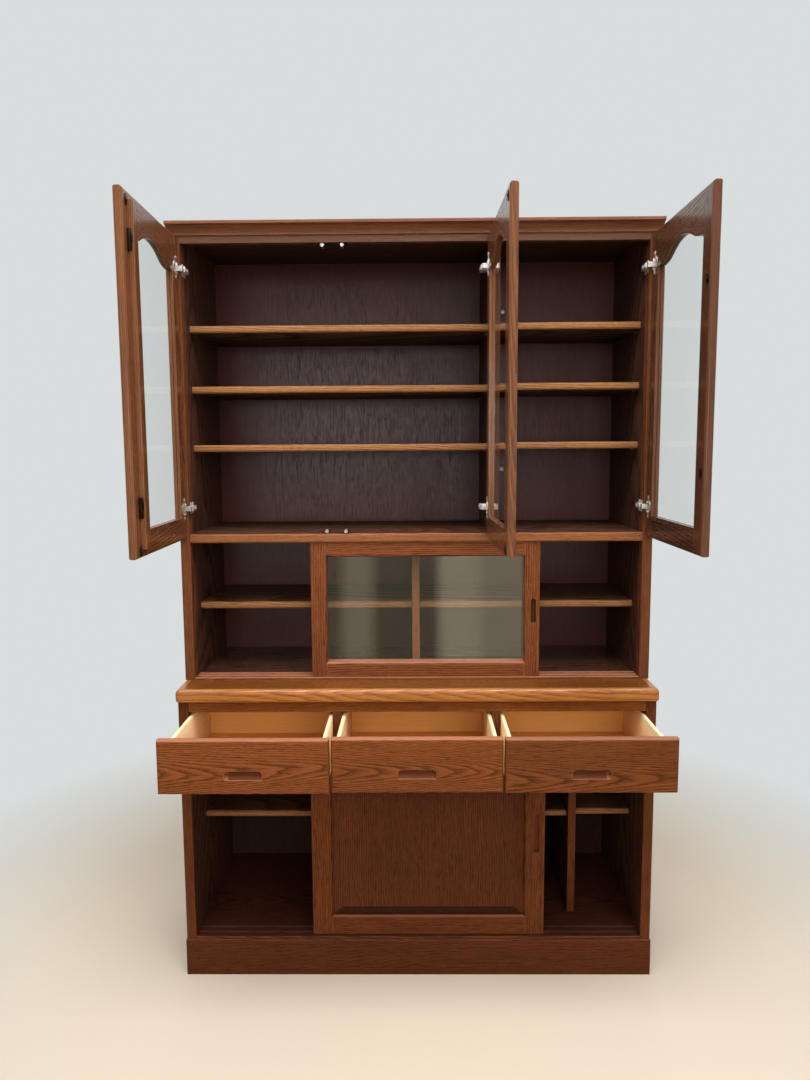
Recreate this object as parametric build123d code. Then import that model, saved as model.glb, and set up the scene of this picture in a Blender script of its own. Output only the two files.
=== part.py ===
from build123d import *
from dataclasses import dataclass
import math
import os

# Two-part kitchen cupboard (mizuya), oak, modelled with its glass doors open, its drawers pulled out
# and both pairs of sliding doors stacked at the middle.
# Millimetres. X to the right, +Y from the front into the cupboard, +Z up.
# The origin is on the floor, under the middle of the lower case.

# ---------------------------------------------------------------- driving dimensions: cases
case_width = 1212.0
lower_depth = 450.0
upper_depth = 375.0
side_thickness = 26.0
side_edge_round = 5.0
back_thickness = 5.0
back_recess = 8.0
back_rebate = 10.0

plinth_height = 96.0
plinth_board = 22.0
plinth_proud = 6.0
plinth_edge_round = 6.0
bearer_width = 30.0

floor_top = 103.0
floor_thickness = 20.0
groove_width = 8.0
floor_groove_depth = 3.0

counter_top = 771.0
counter_thickness = 34.0
counter_nose = 15.0
counter_overhang = 2.0
counter_top_round = 11.0
counter_bottom_round = 7.0
counter_corner_round = 8.0

top_rail_height = 29.0
rail_depth = 20.0
top_rail_setback = 3.0
middle_rail_bottom = 548.0
middle_rail_height = 28.0
middle_rail_depth = 60.0
head_groove_depth = 12.0

divider_thickness = 22.0
divider_centre = 201.0
runner_width = 18.0
runner_height = 18.0

lower_partition_thickness = 20.0
lower_right_bay = 150.0
lower_partition_setback = 113.0
lower_shelf_thickness = 16.0
lower_shelf_setback = 133.0
lower_left_shelf_rise = 281.0
lower_right_shelf_rise = 286.0

overall_height = 1926.0
top_board_thickness = 22.0
top_overhang = 4.0
cornice_depth = 24.0
cornice_height = 31.0
cornice_lip = 8.0
cornice_foot = 4.0
upper_rail_height = 27.0
upper_rail_depth = 20.0

middle_board_top = 1155.0
middle_board_thickness = 23.0
board_edge_round = 5.0
niche_groove_depth = 10.0
threshold_thickness = 5.0
threshold_depth = 56.0
threshold_groove_depth = 3.0

upper_partition_thickness = 24.0
niche_partition_thickness = 20.0
niche_partition_setback = 60.0
niche_shelf_setback = 80.0
niche_shelf_rise = 192.0
shelf_thickness = 18.0
shelf_edge_round = 6.0
upper_shelf_setback = 65.0
left_shelf_rises = (228.0, 379.0, 533.0)
right_shelf_rises = (231.0, 383.0, 536.0)
shelf_side_gap = 1.0
shelf_back_gap = 4.0
pin_radius = 2.5
pin_sides = 8
pin_reach = 8.0
pin_inset = 45.0

# ---------------------------------------------------------------- driving dimensions: hinged doors
door_gap = 3.0
door_thickness = 19.0
door_lap = 10.0
door_head_drop = 34.0
door_edge_round = 6.0
door_stile = 48.0
door_bottom_rail = 56.0
arch_crown_drop = 58.0
arch_rise = 32.0
arch_flat = 13.0
arch_crown_radius = 200.0
rebate_width = 8.0
rebate_depth = 10.0
glass_thickness = 3.0
glass_fit = 0.5
sight_edge_bevel = 2.5

pivot_from_edge = 11.0
pivot_depth = 10.0
left_door_open = 89.0
middle_door_open = 91.0
right_door_open = 90.0

cup_radius = 17.4
cup_sides = 24
cup_wall = 1.1
cup_fit = 0.1
cup_depth = 14.0
cup_from_edge = 21.5
cup_tab_length = 57.0
cup_tab_width = 19.0
cup_tab_thickness = 1.2
hinge_pin_radius = 1.5
hinge_pin_fit = 0.06
eye_reach = 2.5
eye_bevel = 1.3
arm_web = 4.4
arm_width = 12.0
arm_throat_start = 16.0
arm_throat_end = 24.0
arm_body_width = 16.0
arm_body_reach = 16.0
arm_body_start = 2.0
arm_body_length = 50.0
plate_height = 32.0
plate_thickness = 2.0
plate_start = 22.0
plate_length = 36.0
hinge_inset = 77.0

strip_from_hinge = 344.0
strip_width = 28.0
strip_thickness = 12.0
strip_end_gap = 18.5
latch_insets = (106.0, 98.0)
latch_length = 44.0
latch_width = 9.0
latch_thickness = 8.0
strike_length = 22.0
strike_width = 14.0
strike_thickness = 1.6

catch_plate_length = 80.0
catch_plate_width = 14.0
catch_plate_thickness = 2.0
catch_plate_setback = 6.0
catch_gap = 0.5
magnet_radius = 5.0
magnet_sink = 1.0
magnet_spacing = 49.0
magnet_sides = 12
single_catch_length = 36.0
single_catch_insets = (163.0, 171.0)

# ---------------------------------------------------------------- driving dimensions: sliding doors
slider_clearance = 0.4
tongue_width = 6.0
slider_lift = 3.0
glass_slider_width = 594.0
glass_slider_thickness = 18.0
glass_slider_stile = 40.0
glass_slider_rail = 38.0
glass_slider_setback = 8.0
glass_slider_offset = 24.0
wood_slider_width = 604.0
wood_slider_thickness = 20.0
wood_slider_stile = 52.0
wood_slider_rail = 50.0
wood_slider_setback = 8.0
wood_slider_offset = 28.0
slider_spacing = 4.0
frame_mould_round = 6.0
slider_edge_bevel = 2.0
panel_thickness = 8.0
panel_recess = 9.0
field_rise = 5.0
field_bevel = 24.0
field_margin = 1.5
pane_thickness = 3.0
pull_groove_width = 14.0
pull_groove_depth = 7.0
glass_pull_length = 64.0
glass_pull_rise = 174.0
wood_pull_length = 104.0
wood_pull_rise = 278.0
glass_pull_from_edge = 17.0
wood_pull_from_edge = 21.0

# ---------------------------------------------------------------- driving dimensions: drawers
drawer_front_lap = 4.0
drawer_front_height = 130.0
drawer_front_thickness = 20.0
drawer_front_gap = 4.0
drawer_front_round = 5.0
drawer_front_clearance = 1.0
drawer_side_clearance = 1.0
drawer_lift = 0.4
drawer_side_height = 121.6
drawer_wall = 9.0
drawer_length = 350.0
drawer_bottom_thickness = 4.0
drawer_bottom_lift = 10.0
drawer_groove = 4.0
drawer_pulls = {"left": 163.0, "middle": 156.0, "right": 159.0}
pull_width = 88.0
pull_height = 22.0
pull_corner = 9.0
pull_depth = 11.0
pull_foot_rise = 34.0

# ---------------------------------------------------------------- derived places
tiny = 1e-4
half = case_width / 2
inner = half - side_thickness
front = -lower_depth / 2
rear = lower_depth / 2
upper_front = rear - upper_depth
back_face = rear - back_recess - back_thickness
counter_bottom = counter_top - counter_thickness
top_board_bottom = overall_height - top_board_thickness
middle_board_bottom = middle_board_top - middle_board_thickness
middle_rail_top = middle_rail_bottom + middle_rail_height
top_rail_bottom = counter_bottom - top_rail_height
upper_rail_bottom = top_board_bottom - upper_rail_height
door_width = (case_width - 2 * door_gap) / 3
door_bottom = middle_board_top - door_lap
door_top = overall_height - door_head_drop
arch_crown = door_top - arch_crown_drop
arch_shoulder = arch_crown - arch_rise
hinge_heights = (door_bottom + hinge_inset, door_top - hinge_inset)
latch_heights = (door_bottom + latch_insets[0], door_top - latch_insets[1])
hinge_line = {"left": -half, "middle": -half + 2 * door_width + door_gap, "right": half}
partition_centre = hinge_line["middle"] + door_gap / 2
pair_meeting = -half + door_width + door_gap / 2
threshold_top = counter_top + threshold_thickness
left_shelf_tops = [middle_board_top + rise for rise in left_shelf_rises]
right_shelf_tops = [middle_board_top + rise for rise in right_shelf_rises]
niche_shelf_top = counter_top + niche_shelf_rise
lower_left_shelf_top = floor_top + lower_left_shelf_rise
lower_right_shelf_top = floor_top + lower_right_shelf_rise
lower_partition_right = inner - lower_right_bay
lower_partition_left = lower_partition_right - lower_partition_thickness
drawer_front_bottom = middle_rail_top - drawer_front_lap
single_catch_heights = (middle_board_top + single_catch_insets[0], upper_rail_bottom - single_catch_insets[1])
magnet_rise = catch_plate_thickness + magnet_radius - magnet_sink
pair_strike_heights = (middle_board_top + magnet_rise, upper_rail_bottom - magnet_rise)
pair_strike_reach = door_width + door_gap / 2 - magnet_spacing / 2
single_strike_reach = half - partition_centre - upper_partition_thickness / 2 - magnet_rise


@dataclass
class SliderSize:
    """Sizes of one kind of sliding door."""

    width: float
    thickness: float
    stile: float
    rail: float
    filling: float
    field: float
    setback: float
    offset: float
    pull_rise: float
    pull_length: float
    pull_from_edge: float


glass_slider = SliderSize(
    glass_slider_width, glass_slider_thickness, glass_slider_stile, glass_slider_rail, pane_thickness, 0,
    glass_slider_setback, glass_slider_offset, glass_pull_rise, glass_pull_length, glass_pull_from_edge,
)
wood_slider = SliderSize(
    wood_slider_width, wood_slider_thickness, wood_slider_stile, wood_slider_rail, panel_thickness,
    field_rise, wood_slider_setback, wood_slider_offset, wood_pull_rise, wood_pull_length,
    wood_pull_from_edge,
)


# ---------------------------------------------------------------- small helpers
def block(x0, x1, y0, y1, z0, z1):
    """Rectangular solid between two corners."""
    return Pos(x0, y0, z0) * Box(x1 - x0, y1 - y0, z1 - z0, align=(Align.MIN, Align.MIN, Align.MIN))


def prism(radius, sides, length):
    """Upright prism that stands on z = 0 with a flat side towards +X."""
    outline = Rot(0, 0, 180 / sides) * RegularPolygon(radius, sides)
    return extrude(outline, amount=length)


def edges_at(shape, direction, **place):
    """Edges of a shape that run along an axis and whose middle lies at the given x, y or z."""
    chosen = ShapeList()
    for edge in shape.edges().filter_by(direction):
        middle = edge.center()
        spots = {"x": middle.X, "y": middle.Y, "z": middle.Z}
        if all(math.isclose(spots[name], value, abs_tol=tiny) for name, value in place.items()):
            chosen.append(edge)
    return chosen


def save(name, shape):
    """Write one sub-part to its own STEP file."""
    solids = shape.solids()
    whole = solids[0] if len(solids) == 1 else Compound(children=list(solids))
    export_step(whole, f"parts/{name}.step")


def front_rounded_board(x0, x1, y0, y1, z0, z1, radius):
    """Board whose two long front edges are rounded."""
    board = block(x0, x1, y0, y1, z0, z1)
    noses = edges_at(board, Axis.X, y=y0)
    return fillet(noses, radius)


# ---------------------------------------------------------------- shelf pins
def pins_under(x0, x1, y_front, top, thickness):
    """Four pins under one shelf: two on each of the walls at x0 and x1."""
    z = top - thickness - pin_radius * math.cos(math.pi / pin_sides)
    studs = []
    for y in (y_front + pin_inset, back_face - pin_inset):
        for start in (x0, x1 - pin_reach):
            studs.append(Pos(start, y, z) * Rot(0, 90, 0) * prism(pin_radius, pin_sides, pin_reach))
    return studs


def shelf_pins():
    """Every stud that carries a loose shelf."""
    studs = []
    part_left = partition_centre - upper_partition_thickness / 2
    part_right = partition_centre + upper_partition_thickness / 2
    upper_y = upper_front + upper_shelf_setback
    for top in left_shelf_tops:
        studs += pins_under(-inner, part_left, upper_y, top, shelf_thickness)
    for top in right_shelf_tops:
        studs += pins_under(part_right, inner, upper_y, top, shelf_thickness)
    edge = niche_partition_thickness / 2
    niche_y = upper_front + niche_shelf_setback
    for x0, x1 in ((-inner, -edge), (edge, inner)):
        studs += pins_under(x0, x1, niche_y, niche_shelf_top, shelf_thickness)
    lower_y = front + lower_shelf_setback
    lower = lower_shelf_thickness
    studs += pins_under(-inner, lower_partition_left, lower_y, lower_left_shelf_top, lower)
    studs += pins_under(lower_partition_right, inner, lower_y, lower_right_shelf_top, lower)
    return Compound(children=studs)


# ---------------------------------------------------------------- case sides and backs
def case_side(sign, y_front, z0, z1):
    """Upright side with a rounded outer front edge and a rebate for the back panel."""
    x0, x1 = sorted((sign * half, sign * inner))
    side = block(x0, x1, y_front, rear, z0, z1)
    side = fillet(edges_at(side, Axis.Z, x=sign * half, y=y_front), side_edge_round)
    side = fillet(edges_at(side, Axis.Z, x=sign * inner, y=y_front), side_edge_round / 2)
    r0, r1 = sorted((sign * inner, sign * (inner + back_rebate)))
    return side - block(r0, r1, back_face, rear, z0, z1)


def back_panel(z0, z1):
    reach = inner + back_rebate
    return block(-reach, reach, back_face, back_face + back_thickness, z0, z1)


# ---------------------------------------------------------------- lower case
def plinth():
    """Front board with a rounded top edge, two side boards, a back board and one cross bearer."""
    y_front = front - plinth_proud
    y_inner = y_front + plinth_board
    board = block(-half, half, y_front, y_inner, 0, plinth_height)
    board = fillet(edges_at(board, Axis.X, y=y_front, z=plinth_height), plinth_edge_round)
    bearer_top = floor_top - floor_thickness
    boards = [board]
    for sign in (-1, 1):
        x0, x1 = sorted((sign * half, sign * (half - plinth_board)))
        boards.append(block(x0, x1, y_inner, rear, 0, plinth_height))
    hollow = half - plinth_board
    boards.append(block(-hollow, hollow, rear - plinth_board, rear, 0, bearer_top))
    boards.append(block(-bearer_width / 2, bearer_width / 2, y_inner, rear - plinth_board, 0, bearer_top))
    return Compound(children=boards)


def groove_lines(y_front, setback, thickness):
    """Middle planes of the front and the rear slider."""
    first = y_front + setback + thickness / 2
    return (first, first + thickness + slider_spacing)


def cut_grooves(board, lines, z0, z1):
    for y in lines:
        board -= block(-inner, inner, y - groove_width / 2, y + groove_width / 2, z0, z1)
    return board


def lower_floor():
    """Floor board between the sides, rebated over the plinth, with two slider grooves."""
    y_inner = front - plinth_proud + plinth_board
    board = block(-inner, inner, front, back_face, floor_top - floor_thickness, floor_top)
    board -= block(-inner, inner, front, y_inner, floor_top - floor_thickness, plinth_height)
    board = fillet(edges_at(board, Axis.X, y=front, z=floor_top), side_edge_round / 2)
    lines = groove_lines(front, wood_slider_setback, wood_slider_thickness)
    return cut_grooves(board, lines, floor_top - floor_groove_depth, floor_top)


def top_rail():
    y0 = front + top_rail_setback
    return block(-inner, inner, y0, y0 + rail_depth, top_rail_bottom, counter_bottom)


def middle_rail():
    rail = block(-inner, inner, front, front + middle_rail_depth, middle_rail_bottom, middle_rail_top)
    lines = groove_lines(front, wood_slider_setback, wood_slider_thickness)
    return cut_grooves(rail, lines, middle_rail_bottom, middle_rail_bottom + head_groove_depth)


def drawer_dividers():
    """Two uprights between the drawers, notched round both rails."""
    top_rail_back = front + top_rail_setback + rail_depth
    uprights = []
    for sign in (-1, 1):
        x0 = sign * divider_centre - divider_thickness / 2
        upright = block(x0, x0 + divider_thickness, front, back_face, middle_rail_bottom, counter_bottom)
        upright -= block(-inner, inner, front, front + middle_rail_depth, middle_rail_bottom, middle_rail_top)
        upright -= block(-inner, inner, front, top_rail_back, top_rail_bottom, counter_bottom)
        uprights.append(upright.solids().sort_by(SortBy.VOLUME)[-1])
    return Compound(children=uprights)


def drawer_runners():
    """Strips on the sides and the dividers that carry the drawers."""
    strips = []
    for face, out in runner_faces():
        x0, x1 = sorted((face, face + out * runner_width))
        y0 = front + middle_rail_depth
        strips.append(block(x0, x1, y0, back_face, middle_rail_top - runner_height, middle_rail_top))
    return Compound(children=strips)


def runner_faces():
    edge = divider_thickness / 2
    faces = [(-inner, 1), (inner, -1)]
    for sign in (-1, 1):
        faces.append((sign * divider_centre - edge, -1))
        faces.append((sign * divider_centre + edge, 1))
    return faces


def lower_partition():
    y0 = front + lower_partition_setback
    top = middle_rail_top - runner_height
    return block(lower_partition_left, lower_partition_right, y0, back_face, floor_top, top)


def lower_shelves():
    y0 = front + lower_shelf_setback
    y1 = back_face - shelf_back_gap
    spans = (
        (-inner, lower_partition_left, lower_left_shelf_top),
        (lower_partition_right, inner, lower_right_shelf_top),
    )
    shelves = []
    for x0, x1, top in spans:
        z0 = top - lower_shelf_thickness
        ends = (x0 + shelf_side_gap, x1 - shelf_side_gap)
        shelves.append(front_rounded_board(*ends, y0, y1, z0, top, shelf_edge_round))
    return Compound(children=shelves)


def countertop():
    """Thick board with a rounded nose that stands out over the drawers."""
    x = half + counter_overhang
    y0 = front - counter_nose
    board = block(-x, x, y0, rear, counter_bottom, counter_top)
    corners = edges_at(board, Axis.Z, x=-x, y=y0) + edges_at(board, Axis.Z, x=x, y=y0)
    board = fillet(corners, counter_corner_round)
    for height, radius in ((counter_top, counter_top_round), (counter_bottom, counter_bottom_round)):
        rim = board.edges().filter_by_position(Axis.Z, height, height).sort_by(Axis.Y)
        board = fillet(rim[:-1], radius)
    return board


# ---------------------------------------------------------------- upper case
def top_board():
    x = half + top_overhang
    return block(-x, x, upper_front, rear, top_board_bottom, overall_height)


def cornice():
    """Crown moulding across the front: a lip, a hollow and a small foot."""
    x = half + top_overhang
    y_out = upper_front - cornice_depth
    z_low = overall_height - cornice_height
    y_foot = upper_front - cornice_foot
    z_lip = overall_height - cornice_lip
    z_foot = z_low + cornice_foot
    sag_y = (y_out + cornice_foot / 2 + y_foot) / 2 + cornice_foot
    sag_z = (z_lip + z_foot) / 2 + cornice_foot / 2
    with BuildPart() as moulding:
        with BuildSketch(Plane.YZ.offset(-x)):
            with BuildLine():
                Polyline((upper_front, z_low), (upper_front, overall_height), (y_out, overall_height))
                Line((y_out, overall_height), (y_out, z_lip))
                Line((y_out, z_lip), (y_out + cornice_foot / 2, z_lip))
                ThreePointArc((y_out + cornice_foot / 2, z_lip), (sag_y, sag_z), (y_foot, z_foot))
                Polyline((y_foot, z_foot), (y_foot, z_low), (upper_front, z_low))
            make_face()
        extrude(amount=2 * x)
    shape = moulding.part
    return fillet(edges_at(shape, Axis.X, y=y_out, z=overall_height), cornice_foot / 2)


def upper_rail(x0, x1):
    y1 = upper_front + upper_rail_depth
    return block(x0, x1, upper_front, y1, upper_rail_bottom, top_board_bottom)


def middle_board():
    """Fixed board under the glass doors, its underside grooved for the niche sliders."""
    z0 = middle_board_bottom
    board = front_rounded_board(-inner, inner, upper_front, back_face, z0, middle_board_top, board_edge_round)
    lines = groove_lines(upper_front, glass_slider_setback, glass_slider_thickness)
    return cut_grooves(board, lines, z0, z0 + niche_groove_depth)


def upper_partition():
    """Upright between the two doors at the right and the rest, notched round the top rail."""
    x0 = partition_centre - upper_partition_thickness / 2
    x1 = x0 + upper_partition_thickness
    wall = block(x0, x1, upper_front, back_face, middle_board_top, top_board_bottom)
    return wall - upper_rail(x0, x1)


def upper_shelves():
    y0 = upper_front + upper_shelf_setback
    y1 = back_face - shelf_back_gap
    left_end = partition_centre - upper_partition_thickness / 2
    right_end = partition_centre + upper_partition_thickness / 2
    shelves = []
    for x0, x1, tops in ((-inner, left_end, left_shelf_tops), (right_end, inner, right_shelf_tops)):
        for top in tops:
            ends = (x0 + shelf_side_gap, x1 - shelf_side_gap)
            shelves.append(front_rounded_board(*ends, y0, y1, top - shelf_thickness, top, shelf_edge_round))
    return Compound(children=shelves)


def niche_threshold():
    """Thin grooved strip on the counter top that guides the niche sliders."""
    y1 = upper_front + threshold_depth
    strip = block(-inner, inner, upper_front, y1, counter_top, threshold_top)
    lines = groove_lines(upper_front, glass_slider_setback, glass_slider_thickness)
    return cut_grooves(strip, lines, threshold_top - threshold_groove_depth, threshold_top)


def niche_partition():
    edge = niche_partition_thickness / 2
    y0 = upper_front + niche_partition_setback
    return block(-edge, edge, y0, back_face, counter_top, middle_board_bottom)


def niche_shelves():
    y0 = upper_front + niche_shelf_setback
    y1 = back_face - shelf_back_gap
    edge = niche_partition_thickness / 2
    z0 = niche_shelf_top - shelf_thickness
    shelves = []
    for x0, x1 in ((-inner, -edge), (edge, inner)):
        ends = (x0 + shelf_side_gap, x1 - shelf_side_gap)
        shelves.append(front_rounded_board(*ends, y0, y1, z0, niche_shelf_top, shelf_edge_round))
    return Compound(children=shelves)


# ---------------------------------------------------------------- hinged doors
# A door is drawn closed and left-hung: its hinge edge is at x = 0, its inner face at y = 0,
# and its outer face at y = -door_thickness.
def sight_outline(margin):
    """Outline of the glass opening with its bell arch, moved outwards by a margin."""
    turn = 2 * math.atan((arch_crown - arch_shoulder) / (door_width / 2 - door_stile - arch_flat))
    foot_radius = (door_width / 2 - door_stile - arch_flat) / math.sin(turn) - arch_crown_radius
    left = door_stile - margin
    right = door_width - door_stile + margin
    low = door_bottom + door_bottom_rail - margin
    shoulder = arch_shoulder + margin
    sweep = math.degrees(turn)
    with BuildSketch(Plane.XZ) as sketch:
        with BuildLine():
            start = Line((left, shoulder), (door_stile + arch_flat, shoulder))
            rise = JernArc(start @ 1, start % 1, foot_radius - margin, sweep)
            crown = JernArc(rise @ 1, rise % 1, arch_crown_radius + margin, -2 * sweep)
            fall = JernArc(crown @ 1, crown % 1, foot_radius - margin, sweep)
            end = Line(fall @ 1, (right, shoulder))
            Polyline(end @ 1, (right, low), (left, low), start @ 0)
        make_face()
    return sketch.sketch


def door_slab(margin, y0, y1):
    """Solid of the glass outline between two depths."""
    return Pos(0, y1, 0) * extrude(sight_outline(margin), amount=y1 - y0, dir=(0, -1, 0))


def door_frame():
    """Rounded door blank with the arched opening, the glass rebate and the two cup holes."""
    blank = block(0, door_width, -door_thickness, 0, door_bottom, door_top)
    rims = blank.edges().filter_by(Axis.X) + blank.edges().filter_by(Axis.Z)
    blank = fillet(rims, door_edge_round)
    blank -= door_slab(0, -door_thickness, 0)
    blank = chamfer(outer_sight_edges(blank), sight_edge_bevel)
    blank -= door_slab(rebate_width, -rebate_depth, 0)
    for z in hinge_heights:
        blank -= cup_disc(z, cup_radius + cup_fit, cup_depth + cup_fit)
    return blank


def outer_sight_edges(frame):
    """Edges of the glass opening on the outer face of a door frame."""
    inside = ShapeList()
    for edge in frame.edges():
        middle = edge.center()
        across = door_stile / 2 < middle.X < door_width - door_stile / 2
        upright = door_bottom + door_bottom_rail / 2 < middle.Z < (arch_crown + door_top) / 2
        if across and upright and math.isclose(middle.Y, -door_thickness, abs_tol=tiny):
            inside.append(edge)
    return inside


def door_members():
    frame = door_frame()
    far = door_width - door_stile
    tall = (-door_thickness, 0, door_bottom, door_top)
    stiles = [frame & block(0, door_stile, *tall), frame & block(far, door_width, *tall)]
    split = (arch_shoulder + door_bottom) / 2
    upper_rail = frame & block(door_stile, far, -door_thickness, 0, split, door_top)
    bottom_rail = frame & block(door_stile, far, -door_thickness, 0, door_bottom, split)
    return {
        "stiles": stiles,
        "rails": [upper_rail, bottom_rail],
        "glass": [door_pane()],
        "beads": door_beads(),
        "hardware": door_hardware(),
    }


def door_pane():
    return door_slab(rebate_width - glass_fit, -rebate_depth, -rebate_depth + glass_thickness)


def door_beads():
    """Four retaining beads behind the glass, the top one following the arch."""
    ring = door_slab(rebate_width, -rebate_depth + glass_thickness, 0)
    ring -= door_slab(0, -rebate_depth, 0)
    far = door_width - door_stile
    low = door_bottom + door_bottom_rail
    depth = (-door_thickness, 0)
    sides = [
        ring & block(0, door_stile, *depth, low, arch_shoulder),
        ring & block(far, door_width, *depth, low, arch_shoulder),
    ]
    ends = [
        ring & block(0, door_width, *depth, arch_shoulder, door_top),
        ring & block(0, door_width, *depth, door_bottom, low),
    ]
    return sides + ends


def cup_disc(z, radius, depth):
    """Disc of a hinge cup, from the door's inner face down into the wood."""
    return Pos(cup_from_edge, 0, z) * Rot(90, 0, 0) * prism(radius, cup_sides, depth)


def hinge_cup(z):
    """Pressed cup with two screw tabs and the cross pin that carries the door."""
    bore = cup_radius - cup_wall
    cup = cup_disc(z, cup_radius, cup_depth) - cup_disc(z, bore, cup_depth - cup_wall)
    x0 = cup_from_edge - cup_tab_width / 2
    x1 = cup_from_edge + cup_tab_width / 2
    tabs = block(x0, x1, 0, cup_tab_thickness, z - cup_tab_length / 2, z + cup_tab_length / 2)
    tabs = chamfer(tabs.edges().filter_by(Axis.Y), cup_tab_width / 4)
    tabs -= Pos(0, cup_tab_thickness, 0) * cup_disc(z, bore, cup_tab_thickness)
    flat_side = math.cos(math.pi / cup_sides)
    far_side = cup_from_edge - pivot_from_edge + hinge_pin_radius
    pin_half = math.sqrt(((cup_radius - cup_wall / 4) * flat_side) ** 2 - far_side**2)
    pin = Pos(pivot_from_edge, -pivot_depth, z) * Cylinder(hinge_pin_radius, 2 * pin_half)
    return cup + tabs + pin


def door_hardware():
    return [hinge_cup(z) for z in hinge_heights]


def strike(reach, z):
    """Small oval steel plate on a door's inner face, in line with a magnet."""
    plate = Pos(reach, strike_thickness / 2, z) * Box(strike_width, strike_thickness, strike_length)
    return chamfer(plate.edges().filter_by(Axis.Y), strike_width / 4)


def meeting_strip():
    """Upright strip on the inner face of the left door."""
    x0 = strip_from_hinge
    z0 = door_bottom + strip_end_gap
    strip = block(x0, x0 + strip_width, 0, strip_thickness, z0, door_top - strip_end_gap)
    return fillet(edges_at(strip, Axis.Z, y=strip_thickness), side_edge_round / 2)


def latch_bodies():
    """Two small dark latch bodies beside the upright strip."""
    x0 = strip_from_hinge + strip_width
    bodies = []
    for z in latch_heights:
        body = block(x0, x0 + latch_width, 0, latch_thickness, z - latch_length / 2, z + latch_length / 2)
        bodies.append(chamfer(body.edges().filter_by(Axis.X), latch_thickness / 4))
    return bodies


def hang_door(shape, name, opening):
    """Place a left-hung, closed door shape on its hinge line and swing it open."""
    hinge_x = hinge_line[name]
    sign = 1 if name == "left" else -1
    if sign < 0:
        shape = mirror(shape, about=Plane.YZ)
    shape = Pos(hinge_x, upper_front - door_gap, 0) * shape
    pivot = (hinge_x + sign * pivot_from_edge, upper_front - door_gap - pivot_depth, 0)
    return shape.rotate(Axis(pivot, (0, 0, 1)), -sign * opening)


def hinge_arm(name, z, wall_from_edge):
    """Cranked arm from a wall to the hinge pin: web with its eye, throat, body and mounting plate."""
    hinge_x = hinge_line[name]
    sign = 1 if name == "left" else -1
    pin_y = -door_gap - pivot_depth
    web_end = pivot_from_edge + arm_throat_end
    web_start = pivot_from_edge + arm_throat_start
    eye_end = pivot_from_edge - eye_reach
    narrow = (z - arm_width / 2, z + arm_width / 2)
    wide = (z - arm_body_width / 2, z + arm_body_width / 2)
    web = block(eye_end, web_end, pin_y - arm_web / 2, pin_y + arm_web / 2, *narrow)
    web = chamfer(edges_at(web, Axis.Z, x=eye_end), eye_bevel)
    throat = block(web_start, web_end, pin_y, arm_body_start, *narrow)
    body_end = side_thickness + arm_body_reach
    body_far = arm_body_start + arm_body_length
    body = block(wall_from_edge, body_end, arm_body_start, body_far, *wide)
    body = chamfer(edges_at(body, Axis.Y, x=body_end), arm_web / 2)
    plate_end = wall_from_edge + plate_thickness
    plate_far = plate_start + plate_length
    plate = block(wall_from_edge, plate_end, plate_start, plate_far, z - plate_height / 2, z + plate_height / 2)
    arm = web + throat + body + plate
    arm -= Pos(pivot_from_edge, pin_y, z) * Cylinder(hinge_pin_radius + hinge_pin_fit, 2 * arm_width)
    if sign < 0:
        arm = mirror(arm, about=Plane.YZ)
    return Pos(hinge_x, upper_front, 0) * arm


def hinge_arms():
    """Six arms, two for each door: the outer doors hang on the sides, the middle one on the partition."""
    wall_from_edge = {
        "left": side_thickness,
        "middle": hinge_line["middle"] - partition_centre + upper_partition_thickness / 2,
        "right": side_thickness,
    }
    arms = [hinge_arm(name, z, wall_from_edge[name]) for name in hinge_line for z in hinge_heights]
    return Compound(children=arms)


def magnet_catch(length, spots):
    """Catch plate lying on z = 0, with a round magnet above it at each spot along its length."""
    y1 = catch_plate_setback + catch_plate_width
    plate = block(-length / 2, length / 2, catch_plate_setback, y1, 0, catch_plate_thickness)
    plate = chamfer(plate.edges().filter_by(Axis.Z), catch_plate_width / 3)
    y0 = -door_gap + strike_thickness + catch_gap
    for x in spots:
        plate += Pos(x, y1, magnet_rise) * Rot(90, 0, 0) * prism(magnet_radius, magnet_sides, y1 - y0)
    return plate


def door_catches():
    """A double catch above and below the meeting line and two single ones on the partition."""
    double = magnet_catch(catch_plate_length, (-magnet_spacing / 2, magnet_spacing / 2))
    single = magnet_catch(single_catch_length, (0,))
    wall = partition_centre + upper_partition_thickness / 2
    catches = [
        Pos(pair_meeting, upper_front, middle_board_top) * double,
        Pos(pair_meeting, upper_front, upper_rail_bottom) * Rot(0, 180, 0) * double,
    ]
    catches += [Pos(wall, upper_front, z) * Rot(0, 90, 0) * single for z in single_catch_heights]
    return Compound(children=catches)


# ---------------------------------------------------------------- sliding doors
# A slider is drawn with its middle at x = 0, its front face at y = 0 and its foot at z = 0.
def slider_frame(size, height, foot, head):
    """Frame with rounded sight edges and a tongue along its foot and its head."""
    edge = size.width / 2
    blank = block(-edge, edge, 0, size.thickness, 0, height)
    blank = chamfer(edges_at(blank, Axis.Z, y=0), slider_edge_bevel)
    blank -= block(-edge + size.stile, edge - size.stile, 0, size.thickness, size.rail, height - size.rail)
    sight = edges_at(blank, Axis.X, y=0, z=size.rail) + edges_at(blank, Axis.X, y=0, z=height - size.rail)
    for x in (-edge + size.stile, edge - size.stile):
        sight += edges_at(blank, Axis.Z, x=x, y=0)
    blank = fillet(sight, frame_mould_round)
    y0 = (size.thickness - tongue_width) / 2
    blank += block(-edge, edge, y0, y0 + tongue_width, -foot, 0)
    blank += block(-edge, edge, y0, y0 + tongue_width, height, height + head)
    return blank


def routed_groove(x, z, length):
    """Round-ended finger groove in a front face."""
    tool = Pos(x, pull_groove_depth / 2, z) * Box(pull_groove_width, pull_groove_depth, length)
    return fillet(tool.edges().filter_by(Axis.Y), pull_groove_width / 2 - tongue_width / 8)


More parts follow.
